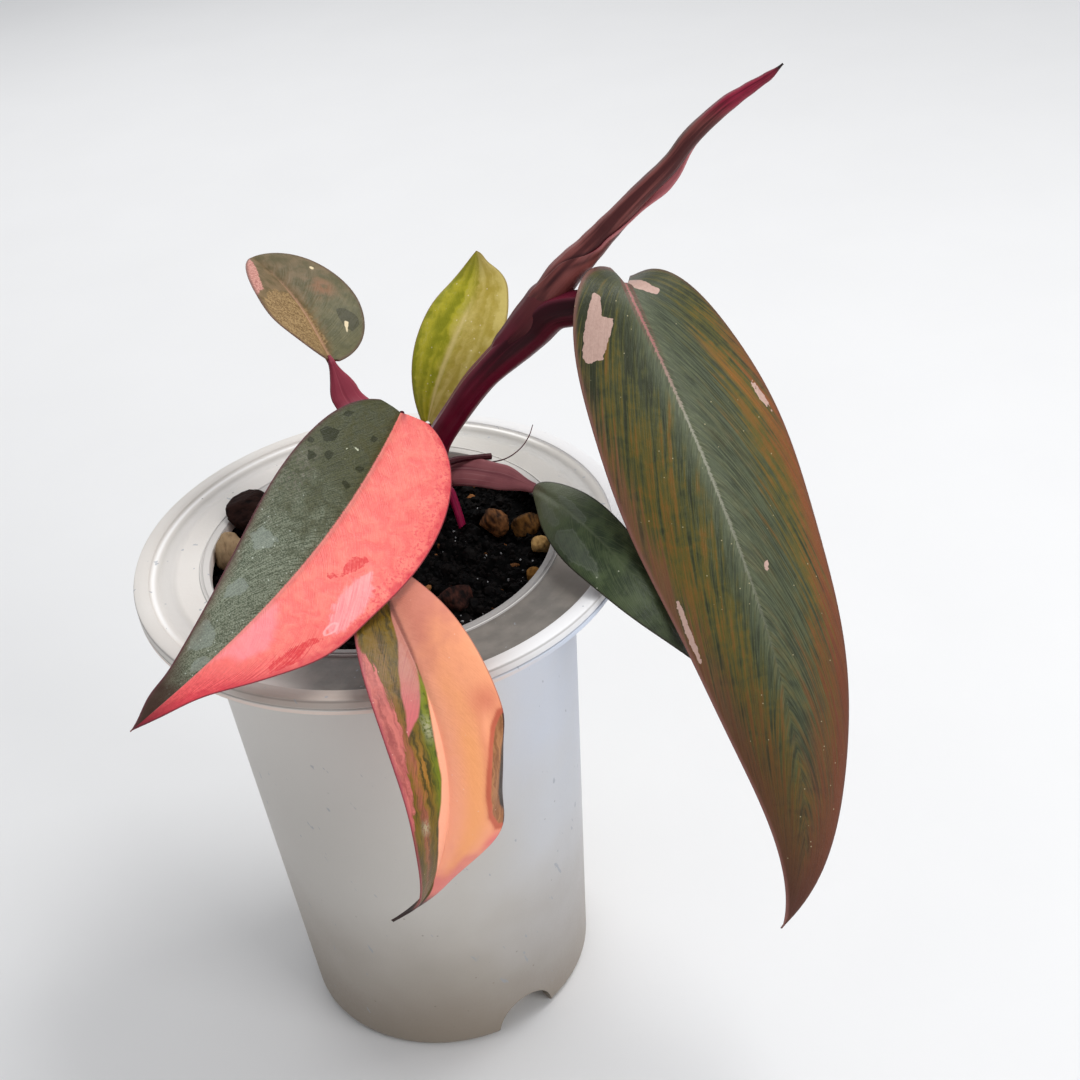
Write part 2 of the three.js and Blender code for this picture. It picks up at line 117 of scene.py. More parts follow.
def rise(value, low, high):
    # 0 before low and 1 after high; it falls instead where low is the larger
    return value.node("ShaderNodeMapRange", {"interpolation_type": "SMOOTHSTEP"},
                      {"Value": value, "From Min": low, "From Max": high})


def hump(value, centre, width):
    # 1 at centre, 0 a width away on either side
    return rise(abs(value - centre), width, 0)


def mixed(amount, first, second):
    wire = next(part for part in (amount, first, second) if isinstance(part, Wire))
    return wire.node("ShaderNodeMix", {"data_type": "RGBA"},
                     {"Factor": amount, "A": first, "B": second}, "Result")


def grain(vector, size, detail=2, distortion=0.0):
    # noise with features of about that size, in the vector's own unit
    return vector.node("ShaderNodeTexNoise", {}, {"Vector": vector, "Scale": 1 / size, "Detail": detail,
                                                  "Distortion": distortion})


def specks(vector, spacing, size, share):
    # small round spots: one in each cell of that spacing, in that share of the cells
    cells = vector.node("ShaderNodeTexVoronoi", {}, {"Vector": vector, "Scale": 1 / spacing}, "Distance")
    chosen = cells.node("ShaderNodeSeparateColor", {}, {"Color": cells.other("Color")}, "Red")
    return rise(cells, size / spacing, 0.6 * size / spacing) * rise(chosen, share, 0.96 * share)


def joined(wire, x, y, z):
    return wire.node("ShaderNodeCombineXYZ", {}, {"X": x, "Y": y, "Z": z})


def field(start, name, out="Fac"):
    # a value that the mesh carries for each of its points
    return start.node("ShaderNodeAttribute", {"attribute_name": name}, {}, out)


def inMillimetres(start):
    return start.node("ShaderNodeTexCoord", {}, {}, "Object").scaled(1 / mm)


def newMaterial(name):
    material = bpy.data.materials.new(name)
    material.use_nodes = True
    material.node_tree.nodes.clear()
    return material, Wire(material.node_tree)


def finishMaterial(start, colour, roughness, height=None, depth=0.1, alpha=None, **steady):
    # height is 0 to 1, and depth says how many millimetres that is; steady is the same all over
    sockets = {"Base Color": colour, "Roughness": roughness}
    if height is not None:
        relief = {"Height": height, "Distance": depth * mm}
        sockets["Normal"] = start.node("ShaderNodeBump", {}, relief, "Normal")
    if alpha is not None:
        sockets["Alpha"] = alpha
    sockets.update({name.replace("_", " "): value for name, value in steady.items()})
    shader = start.node("ShaderNodeBsdfPrincipled", {}, sockets, "BSDF")
    start.node("ShaderNodeOutputMaterial", {}, {"Surface": shader})


# Meshes


def added(name, data):
    made = bpy.data.objects.new(name, data)
    bpy.context.collection.objects.link(made)
    return made


def makePiece(name, points, faces, fields=None, uv=None):
    # points are in millimetres; fields and uv give the material one value for each point
    mesh = bpy.data.meshes.new(name)
    mesh.from_pydata((np.asarray(points) * mm).tolist(), [], faces)
    for title, values in (fields or {}).items():
        kind, part = ("FLOAT", "value") if values.ndim == 1 else ("FLOAT_VECTOR", "vector")
        attribute = mesh.attributes.new(title, kind, "POINT")
        attribute.data.foreach_set(part, values.astype(np.float32).ravel())
    if uv is not None:
        corners = np.zeros(len(mesh.loops), np.int32)
        mesh.loops.foreach_get("vertex_index", corners)
        mesh.uv_layers.new(name="leafMap").data.foreach_set("uv", uv[corners].astype(np.float32).ravel())
    closed = bmesh.new()
    closed.from_mesh(mesh)
    bmesh.ops.remove_doubles(closed, verts=closed.verts, dist=0.002 * mm)
    bmesh.ops.recalc_face_normals(closed, faces=closed.faces)
    for face in closed.faces:
        face.smooth = True
    closed.to_mesh(mesh)
    closed.free()
    return added(name, mesh)


def seat(piece, material, slot, *nodes):
    # a material of None leaves the one that the piece has
    if material is not None:
        piece.data.materials.clear()
        piece.data.materials.append(material)
    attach(piece, "root")
    if nodes:
        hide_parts(*nodes)
    return piece


def settle(piece):
    # work the piece's modifiers into its mesh
    depsgraph = bpy.context.evaluated_depsgraph_get()
    mesh = bpy.data.meshes.new_from_object(piece.evaluated_get(depsgraph), depsgraph=depsgraph)
    piece.modifiers.clear()
    piece.data = mesh


def carve(piece, cutters):
    for cutter in cutters:
        cut = piece.modifiers.new("cut", "BOOLEAN")
        cut.operation = "DIFFERENCE"
        cut.solver = "EXACT"
        cut.object = cutter
    settle(piece)
    for polygon in piece.data.polygons:
        polygon.use_smooth = True
    for cutter in cutters:
        bpy.data.objects.remove(cutter)


def ringFaces(rows, sides):
    # quads between closed rings of points, with a fan to one more point at each end
    faces = []
    for i in range(rows - 1):
        for k in range(sides):
            a, b = i * sides + k, i * sides + (k + 1) % sides
            faces.append((a, b, b + sides, a + sides))
    first, last = rows * sides, rows * sides + 1
    for k in range(sides):
        after = (k + 1) % sides
        faces.append((first, after, k))
        faces.append((last, (rows - 1) * sides + k, (rows - 1) * sides + after))
    return faces


def circle(radius, z, count):
    turn = 2 * np.pi * np.arange(count) / count
    return [(radius * math.cos(a), radius * math.sin(a), z) for a in turn]


def turned(points, angle):
    # turned about the upright axis, in radians
    c, s = math.cos(angle), math.sin(angle)
    return points @ np.array([[c, s, 0], [-s, c, 0], [0, 0, 1]])


def unit(vectors):
    return vectors / np.linalg.norm(vectors, axis=-1, keepdims=True)


def smoothRoute(route, count):
    # evenly spaced points on a centripetal curve through the route, and its directions there
    p = np.array(route, float)
    p = np.vstack([2 * p[0] - p[1], p, 2 * p[-1] - p[-2]])
    u = np.linspace(0, 1, 24, endpoint=False)[:, None]
    fine = []
    for a, b, c, d in zip(p, p[1:], p[2:], p[3:]):
        ab, bc, cd = (math.sqrt(np.linalg.norm(y - x)) for x, y in ((a, b), (b, c), (c, d)))
        leave = ((b - a) / ab - (c - a) / (ab + bc) + (c - b) / bc) * bc
        arrive = ((c - b) / bc - (d - b) / (bc + cd) + (d - c) / cd) * bc
        fine.append(b + leave * u + (3 * (c - b) - 2 * leave - arrive) * u ** 2
                    + (2 * (b - c) + leave + arrive) * u ** 3)
    fine = np.vstack([*fine, p[-2:-1]])
    lengths = np.concatenate([[0], np.cumsum(np.linalg.norm(np.diff(fine, axis=0), axis=1))])
    wanted = np.linspace(0, lengths[-1], count)
    points = np.stack([np.interp(wanted, lengths, fine[:, k]) for k in range(3)], 1)
    return points, unit(np.gradient(points, axis=0))


def reading(values, t):
    # a smooth reading of evenly spaced values at t from 0 to 1
    place = np.clip(t, 0, 1) * (len(values) - 1)
    index = np.minimum(place.astype(int), len(values) - 2)
    share = place - index
    share = share * share * (3 - 2 * share)
    values = np.array(values, float)
    return values[index] * (1 - share) + values[index + 1] * share


def axesAlong(tangents, facing):
    # at each point of a route, the direction across it and the one that it faces
    facing = np.broadcast_to(np.array(facing, float), tangents.shape)
    face = unit(facing - tangents * (facing * tangents).sum(1, keepdims=True))
    return np.cross(tangents, face), face


def inSection(points, across, face, x, y):
    # cross-sections of x and y values, one set of them at each point of a route
    return points[:, None] + across[:, None] * x[..., None] + face[:, None] * y[..., None]


# Camera, floor and light; places in millimetres and angles in degrees


view = dict(place=(0, -298.2, 321.6), target=(33, -3.7, 117.2), roll=-6.6, angle=35.24)

lighting = dict(
    world=0.5,
    skyTone=(246, 248, 252),
    floorSize=6000,
    floorTone=(236, 236, 236),
    key=dict(place=(430, 90, 900), aim=(10, 0, 110), size=420, watts=4.6),
    fill=dict(place=(560, -600, 520), aim=(10, 0, 100), size=420, watts=2.4),
    back=dict(place=(-150, 700, 560), aim=(20, 0, 110), size=600, watts=1.6),
)


def aimed(place, target):
    place, target = Vector(place) * mm, Vector(target) * mm
    return Matrix.Translation(place) @ (target - place).to_track_quat("-Z", "Y").to_matrix().to_4x4()


def addCamera():
    camera = added("camera", bpy.data.cameras.new("camera"))
    roll = Matrix.Rotation(math.radians(view["roll"]), 4, "Z")
    camera.matrix_world = aimed(view["place"], view["target"]) @ roll
    camera.data.sensor_fit = "HORIZONTAL"
    camera.data.angle = math.radians(view["angle"])
    camera.data.clip_start = 10 * mm
    bpy.context.scene.camera = camera


def addLamp(name, lamp):
    light = added(name, bpy.data.lights.new(name, "AREA"))
    light.data.size = lamp["size"] * mm
    light.data.energy = lamp["watts"]
    light.matrix_world = aimed(lamp["place"], lamp["aim"])


def addFloor():
    half, pale = lighting["floorSize"] / 2, lighting["floorTone"]
    corners = [(-half, -half, 0), (half, -half, 0), (half, half, 0), (-half, half, 0)]
    floor = makePiece("floor", corners, [(0, 1, 2, 3)])
    material, start = newMaterial("paleFloor")
    mottle = grain(inMillimetres(start), 60, 4)
    colour = mixed(mottle, tone(*(0.98 * shade for shade in pale)), tone(*pale))
    finishMaterial(start, colour, 0.8, Specular_IOR_Level=0.2)
    floor.data.materials.append(material)


def addWorld():
    world = bpy.data.worlds.new("softStudio")
    world.use_nodes = True
    world.node_tree.nodes.clear()
    start = Wire(world.node_tree)
    sky = {"Color": tone(*lighting["skyTone"]), "Strength": lighting["world"]}
    start.node("ShaderNodeOutputWorld", {}, {"Surface": start.node("ShaderNodeBackground", {}, sky)})
    bpy.context.scene.world = world
    bpy.context.scene.view_settings.view_transform = "Standard"


addCamera()
addWorld()
addFloor()
for lampName in ("key", "fill", "back"):
    addLamp(lampName, lighting[lampName])
print("stage ready")


# Leaf blades: a midrib curve with two arched halves, as the solids have


def bladeWidth(leaf, t):
    # 1 where the blade is widest; rise and fall shape it towards the stalk and towards the tip
    widest = leaf["rise"] / (leaf["rise"] + leaf["fall"])
    return (t / widest) ** leaf["rise"] * ((1 - t) / (1 - widest)) ** leaf["fall"]


def midribOf(leaf, t):
    a, b, c, d = np.array(leaf["path"], float)
    t = t[:, None]
    s = 1 - t
    points = s ** 3 * a + 3 * s * s * t * b + 3 * s * t * t * c + t ** 3 * d
    tangents = unit(s * s * (b - a) + 2 * s * t * (c - b) + t * t * (d - c))
    return points, tangents


def bladeLength(leaf):
    points, _ = midribOf(leaf, np.linspace(0, 1, 60))
    return np.linalg.norm(np.diff(points, axis=0), axis=1).sum()


def insideBy(outline, x, y):
    # how far inside a closed outline each place is, in millimetres; negative outside
    corners = np.array(outline, float)
    nearest = np.full(x.shape, np.inf)
    inside = np.zeros(x.shape, bool)
    for (ax, ay), (bx, by) in zip(corners, np.roll(corners, -1, 0)):
        dx, dy = bx - ax, by - ay
        share = np.clip(((x - ax) * dx + (y - ay) * dy) / (dx ** 2 + dy ** 2), 0, 1)
        nearest = np.minimum(nearest, np.hypot(x - ax - share * dx, y - ay - share * dy))
        crosses = (ay > y) != (by > y)
        inside ^= crosses & (x < dx * (y - ay) / (dy or 1e-9) + ax)
    return np.where(inside, nearest, -nearest)


def leanOf(leaf, t, v, side):
    # the cross-section's slope: the fold at the midrib, the arch, and a margin that is tucked under
    q = abs(v)
    lean = np.array(leaf["fold"], float)[side] + np.array(leaf["curl"], float)[side] * q
    lean = np.broadcast_to(lean, (len(t), len(v))).copy()
    for tuck in leaf.get("tucks", []):
        near = np.exp(-(abs(t - tuck["along"]) / tuck["reach"]) ** 4)[:, None]
        bent = 1 - np.exp(-np.maximum(q - tuck["start"], 0) / tuck["crease"])
        lean += tuck["turn"] * near * bent * (side == tuck["side"])
    return np.radians(lean)


def summed(slopes, v):
    # running sum of slopes over v, zero at the midrib
    steps = np.diff(v) * (slopes[:, 1:] + slopes[:, :-1]) / 2
    total = np.concatenate([np.zeros((len(slopes), 1)), np.cumsum(steps, 1)], 1)
    return total - total[:, [len(v) // 2]]


sheet = dict(
    thickness=0.5, edgeThickness=0.14, ribWidth=0.75, ribGroove=0.28, hookReach=0.08, veinBend=1.3,
    rows=150, firstRow=0.012, columns=26, besideRib=(0.012, 0.028, 0.05), besideEdge=(0.975, 0.99, 1.0),
)


def makeBlade(name, leaf, material):
    # t runs from the stalk to the tip, v from edge to edge through 0 at the midrib, and q is its size
    spacing = (1 - np.cos(np.pi * np.linspace(0, 1, sheet["rows"]))) / 2
    t = sheet["firstRow"] + (1 - sheet["firstRow"]) * spacing
    q = np.concatenate([sheet["besideRib"], np.linspace(0.08, 0.95, sheet["columns"]), sheet["besideEdge"]])
    v = np.concatenate([-q[::-1], [0], q])
    q = abs(v)
    side = (v >= 0).astype(int)
    down = t[:, None]
    points, tangents = midribOf(leaf, t)
    hooked = np.clip((down - (1 - sheet["hookReach"])) / sheet["hookReach"], 0, 1) ** 2
    points = points + hooked * np.array(leaf.get("hook", (0, 0, 0)))
    facing = np.outer(1 - t, leaf["face0"]) + np.outer(t, leaf["face1"])
    across, face = axesAlong(tangents, facing)
    half = np.outer(bladeWidth(leaf, t), np.array(leaf["half"])[side])
    for bulge in leaf.get("bulges", []):
        near = np.exp(-((t - bulge["along"]) / bulge["reach"]) ** 2)
        half *= 1 + bulge["share"] * np.outer(near, side == bulge["side"])
    lean = leanOf(leaf, t, v, side)
    outward, upward = summed(np.cos(lean), v), summed(np.sin(lean) * np.sign(v), v)
    height, waves = leaf["ripple"]
    ripple = height * q ** 2 * np.sin(2 * np.pi * (waves * down + 0.3 * side)) * np.sin(np.pi * down)
    middle = (inSection(points, across, face, half * outward, half * upward + ripple)
              - tangents[:, None] * (leaf["lobe"] * (1 - down) ** 8 * q ** 1.5)[..., None])
    lean = np.where(q > 0, lean, 0)
    normals = (face[:, None] * np.cos(lean)[..., None]
               - across[:, None] * (np.sign(v) * np.sin(lean))[..., None])
    fromRib, fromEdge = half * q, half * (1 - q)
    groove = sheet["ribGroove"] * np.exp(-(fromRib / sheet["ribWidth"]) ** 2) * (1 - down) ** 0.5
    ridge = leaf["ribHeight"] * np.exp(-(fromRib / (0.5 * leaf["ribHeight"] + 0.35)) ** 2)
    ridge = ridge * (0.15 + 0.85 * (1 - down) ** 1.5)
    body = sheet["edgeThickness"] + (sheet["thickness"] - sheet["edgeThickness"]) * np.sqrt(1 - q ** 6)
    top = middle + normals * (body / 2 - groove)[..., None]
    under = middle - normals * (body / 2 + ridge)[..., None]
    rings = np.concatenate([top, under[:, ::-1]], 1)
    rows, sides = rings.shape[:2]
    faces = [face for face in ringFaces(rows, sides) if max(face) < rows * sides]
    for k in range(len(v) - 1):  # close the stalk end
        faces.append((k, sides - 1 - k, sides - 2 - k, k + 1))

    def both(values):
        return np.concatenate([values, values[:, ::-1]], 1).ravel()

    flatV, flatT = np.broadcast_to(v, half.shape), np.broadcast_to(down, half.shape)
    fields = {"fromRib": both(fromRib), "fromEdge": both(fromEdge),
              "under": np.concatenate([np.zeros(half.shape), np.ones(half.shape)], 1).ravel()}
    wide, long = max(leaf["half"]), bladeLength(leaf)
    for title, outlines in leaf.get("marks", {}).items():
        gains = [insideBy(np.array(outline) * (wide, long), flatV * wide, flatT * long)
                 for outline in outlines]
        fields[title] = both(np.max(gains, 0))
    uv = np.stack([both(flatV / 2 + 0.5), both(flatT)], 1)
    piece = makePiece(name, rings.reshape(-1, 3), faces, fields, uv)
    return seat(piece, material, leaf["slot"], leaf["node"])


class LeafSkin:
    # what every leaf's material draws with: the place on the blade, and noises that follow its veins
    def __init__(self, name, leaf):
        self.material, self.start = newMaterial(name)
        wide, self.along, _ = self.start.node("ShaderNodeUVMap", {"uv_map": "leafMap"}).split()
        self.across = wide * 2 - 1
        self.reach = abs(self.across)
        self.side = self.across.math("SIGN")
        self.fromRib = field(self.start, "fromRib")
        self.fromEdge = field(self.start, "fromEdge")
        self.place = inMillimetres(self.start)
        self.long = bladeLength(leaf)
        # a vein leaves the midrib at an angle and bends towards the tip
        self.vein = self.along - self.reach.math("POWER", sheet["veinBend"]) * leaf["veinSlant"]
        self.veinLength = math.hypot(self.long * leaf["veinSlant"], max(leaf["half"]))

    def veins(self, width, length, seed=0, detail=2):
        # noise in streaks along the veins, sizes in millimetres
        outward = self.reach * (self.veinLength / length)
        streaks = joined(self.start, self.vein * (self.long / width), outward, self.side * 3.1 + seed)
        return grain(streaks, 1, detail)

    def mottle(self, size, detail=3, distortion=0.0):
        return grain(self.place, size, detail, distortion)

    def mark(self, title, ragged=0.3, size=0.8, soft=0.12, grown=0.0):
        # 1 inside the outlines of that name, with an edge as ragged as the noise makes it
        edge = field(self.start, title) + (self.mottle(size) - 0.5) * (4 * ragged)
        return rise(edge, -soft - grown, soft - grown)

    def spot(self, across, along, wide, long):
        return hump(self.across, across, wide) * hump(self.along, along, long)

    def finish(self, colour, roughness, height, depth, underTone, underShare=0.75):
        under = rise(field(self.start, "under"), 0.45, 0.55)
        below = mixed(underShare, colour, underTone)
        worn = mixed(grain(self.place, 3, 2) * 0.3, below, tone(90, 60, 55))
        rough = rise(under, -0.5, 1.6) * 0.25 + roughness
        finishMaterial(self.start, mixed(under, colour, worn), rough, height, depth, Specular_IOR_Level=0.3)
        return self.material


bigLeaf = dict(
    node="big_leaf", slot="big_blade",
    path=[(55, -5.7, 174.5), (52.2, -22.6, 180), (91.7, -49.6, 74.5), (65, -70.2, 59.5)],
    face0=(0.25, -0.71, 0.65), face1=(0.07, -0.86, 0.51), half=(20.1, 18.8), fold=(-2, -6), curl=(-15, -20),
    rise=0.8, fall=1.25, lobe=10.3, ripple=(0.7, 3.5), ribHeight=1.3, veinSlant=0.38,
    # outlines in leaf places: across from -1 to 1, along from 0 at the stalk to 1 at the tip
    marks=dict(pinkPatch=[
        [(0.59, 0.09), (0.72, 0.08), (0.78, 0.115), (0.83, 0.14), (0.91, 0.184), (0.87, 0.195),
         (0.66, 0.194), (0.53, 0.166), (0.39, 0.133), (0.57, 0.127)],
        [(-0.5, -0.02), (-0.17, -0.02), (-0.17, 0.06), (-0.35, 0.1), (-0.42, 0.115), (-0.55, 0.112),
         (-0.5, 0.09)],
        [(-0.87, 0.31), (-0.83, 0.315), (-0.85, 0.34), (-0.93, 0.36), (-0.91, 0.335)],
        [(0.82, 0.505), (0.87, 0.505), (0.92, 0.55), (0.93, 0.58), (0.9, 0.59), (0.86, 0.56)],
        [(-0.25, 0.5), (-0.19, 0.504), (-0.18, 0.515), (-0.24, 0.513)],
    ]),
)


def bigLeafSkin():
    skin = LeafSkin("bigLeafSkin", bigLeaf)
    q, t = skin.reach, skin.along
    rightHalf = rise(skin.across, 0.15, -0.15)
    hair, fine = skin.veins(0.3, 5, 1, 2), skin.veins(0.8, 9, 5, 3)
    broad, bands = skin.veins(2.2, 14, 9, 3), skin.veins(5, 30, 17, 3)
    patchy = (skin.mottle(3, 3, 0.8) - 0.5) * 0.4
    warmth = rise(q, 0.0, 0.7) * 0.1 + rise(t, 0.06, 0.42) * 0.16 + (bands - 0.5) * 0.6 + patchy - 0.19
    level = fine * 0.22 + broad * 0.78 + (hair - 0.5) * 0.12 + warmth
    colour = mixed(rise(level, 0.32, 0.48), tone(44, 48, 24), tone(72, 74, 36))
    colour = mixed(rise(level, 0.45, 0.58), colour, tone(94, 84, 28))
    colour = mixed(rise(level, 0.57, 0.72), colour, tone(118, 85, 28))
    greyZone = rise(q - rightHalf * 0.36 + (broad - 0.5) * 0.7, 0.34, 0.0) * rise(t, 0.85, 0.5)
    greyTone = mixed(rise(fine, 0.4, 0.62), tone(50, 58, 40), tone(84, 92, 68))
    colour = mixed(greyZone * 0.8, colour, greyTone)
    streak = hump(skin.vein + (broad - 0.5) * 0.03, 0.06, 0.03) * hump(q, 0.7, 0.26) * rightHalf
    colour = mixed(streak * (0.25 + fine * 0.7), colour, tone(150, 94, 32))
    edge = rise(q + (broad - 0.5) * 0.6 + t * 0.3, 0.82, 1.16) * rise(t, 0.12, 0.36)
    colour = mixed(edge * 0.8, colour, mixed(rightHalf, tone(126, 82, 62), tone(138, 72, 40)))
    low = rise(t + (broad - 0.5) * 0.5 + q * 0.25, 0.64, 1.0)
    lowLeft = mixed(fine, tone(74, 44, 20), tone(106, 64, 32))
    lowRight = mixed(fine, tone(84, 40, 22), tone(118, 60, 36))
    colour = mixed(low * 0.85, colour, mixed(rightHalf, lowLeft, lowRight))
    colour = mixed(rise(t, 0.8, 0.99) * 0.9, colour, tone(74, 36, 26))
    colour = mixed(rise(hair * 0.4 + fine * 0.6, 0.46, 0.36) * 0.3, colour, tone(38, 36, 14))
    strands = rise(hair, 0.52, 0.64) * rise(q, 0.6, 0.05) * rise(t, 0.82, 0.4)
    colour = mixed(strands * 0.28, colour, tone(132, 138, 106))
    # painted sheen: a pale grey-green reflection beside the midrib, in the upper part of the blade
    sheen = rise(skin.fromRib + (fine - 0.5) * 6, 4, 0.4) * rise(t, 0.75, 0.3)
    colour = mixed(sheen * 0.28, colour, tone(120, 126, 98))
    # painted sheen: the blade is painted greyer near the stalk end
    colour = mixed(rise(t, 0.16, 0.0) * 0.45, colour, tone(86, 90, 74))
    margin = rise(skin.fromEdge + (fine - 0.5) * 0.6, 1.0, 0.1)
    colour = mixed(margin * 0.6, colour, mixed(rightHalf, tone(156, 104, 98), tone(96, 62, 50)))
    ribNoise = skin.veins(0.3, 3, 31, 3)
    rib = rise(skin.fromRib + (ribNoise - 0.5) * 1.2, 0.42, 0.1) * rise(t, 0.66, 0.3)
    paler = rise(t + (skin.mottle(4) - 0.5) * 0.1, 0.14, 0.34)
    colour = mixed(rib * 0.85, colour, mixed(paler, tone(176, 108, 106), tone(160, 158, 140)))
    besideRib = hump(skin.fromRib, 0.7, 0.5) * rise(t, 0.28, 0.02)
    colour = mixed(besideRib * 0.55, colour, tone(126, 66, 66))
    patchTone = mixed(skin.mottle(0.5, 2), tone(184, 148, 136), tone(208, 176, 162))
    colour = mixed(skin.mark("pinkPatch", 0.3, 1.1, 0.05), colour, patchTone)
    colour = mixed(specks(skin.place, 1.9, 0.16, 0.4) * 0.6, colour, tone(206, 192, 150))
    height = hair * 0.25 + broad * 0.4 + skin.mottle(1.2) * 0.35
    return skin.finish(colour, 0.4 + (skin.mottle(5) - 0.5) * 0.15, height, 0.26, tone(96, 56, 54))


halfMoonLeaf = dict(
    node="half_moon_leaf", slot="half_moon_blade",
    path=[(8.9, -2.4, 153.6), (-6.8, -24.7, 140.5), (-25.4, -41.5, 136), (-48.6, -61.7, 133)],
    face0=(0.26, -0.49, 0.84), face1=(0.35, -0.54, 0.78), half=(18.1, 15.1), fold=(10, 26), curl=(-13, -12),
    rise=0.465, fall=1.13, lobe=0, ripple=(0.5, 2.5), ribHeight=1.0, veinSlant=0.3,
    bulges=[
        dict(side=0, along=0.61, reach=0.1, share=0.116),
        dict(side=0, along=0.88, reach=0.09, share=-0.237),
        dict(side=1, along=0.7, reach=0.2, share=-0.04),
        dict(side=1, along=0.95, reach=0.05, share=0.5),
    ],
    marks=dict(
        # painted highlight: outlines of pale pink reflections on the coral half
        paleHighlight=[
            [(-0.62, 0.385), (-0.55, 0.45), (-0.6, 0.51), (-0.72, 0.56), (-0.86, 0.56), (-0.9, 0.5),
             (-0.84, 0.44)],
        ],
        paleBand=[
            [(-0.5, 0.68), (-0.3, 0.63), (-0.08, 0.58), (-0.02, 0.6), (-0.04, 0.78), (-0.2, 0.75),
             (-0.45, 0.74)],
        ],
        redPink=[
            [(-0.56, 0.37), (-0.48, 0.37), (-0.38, 0.39), (-0.37, 0.42), (-0.45, 0.435), (-0.5, 0.41)],
            [(-0.8, 0.58), (-0.7, 0.6), (-0.68, 0.66), (-0.76, 0.7), (-0.92, 0.72), (-0.9, 0.66),
             (-0.78, 0.62)],
            [(-0.42, 0.438), (-0.3, 0.45), (-0.26, 0.456), (-0.32, 0.46), (-0.4, 0.452)],
        ],
        droplet=[
            [(-0.79, 0.53), (-0.72, 0.535), (-0.7, 0.555), (-0.72, 0.575), (-0.79, 0.58), (-0.84, 0.555)],
        ],
        glint=[
            [(0.28, 0.16), (0.34, 0.148), (0.42, 0.153), (0.34, 0.157)],
            [(0.45, 0.165), (0.49, 0.17), (0.47, 0.181)],
            [(0.39, 0.19), (0.42, 0.19), (0.41, 0.205)],
        ],
        wet=[
            [(0.7, 0.14), (0.9, 0.15), (0.92, 0.17), (0.76, 0.19), (0.66, 0.17)],
            [(0.78, 0.08), (0.9, 0.085), (0.86, 0.1), (0.76, 0.1)],
            [(0.55, 0.2), (0.66, 0.2), (0.66, 0.22), (0.56, 0.225)],
            [(0.72, 0.23), (0.86, 0.23), (0.82, 0.25), (0.78, 0.26), (0.72, 0.24)],
            [(0.12, 0.24), (0.25, 0.235), (0.26, 0.25), (0.15, 0.255)],
            [(0.1, 0.18), (0.22, 0.19), (0.2, 0.2), (0.1, 0.195)],
            [(0.16, 0.1), (0.28, 0.1), (0.26, 0.115), (0.18, 0.115)],
            [(0.86, 0.2), (0.96, 0.2), (0.94, 0.215), (0.88, 0.215)],
        ],
        sheen=[
            [(0.28, 0.76), (0.5, 0.73), (0.85, 0.725), (0.95, 0.78), (0.8, 0.81), (0.45, 0.78)],
            [(-0.02, 0.78), (0.2, 0.78), (0.4, 0.81), (0.3, 0.83), (0.06, 0.825)],
            [(0.48, 0.6), (0.7, 0.6), (0.82, 0.65), (0.74, 0.665), (0.5, 0.63)],
            [(0.5, 0.47), (0.8, 0.47), (0.9, 0.51), (0.7, 0.53), (0.56, 0.5)],
        ],
    ),
)


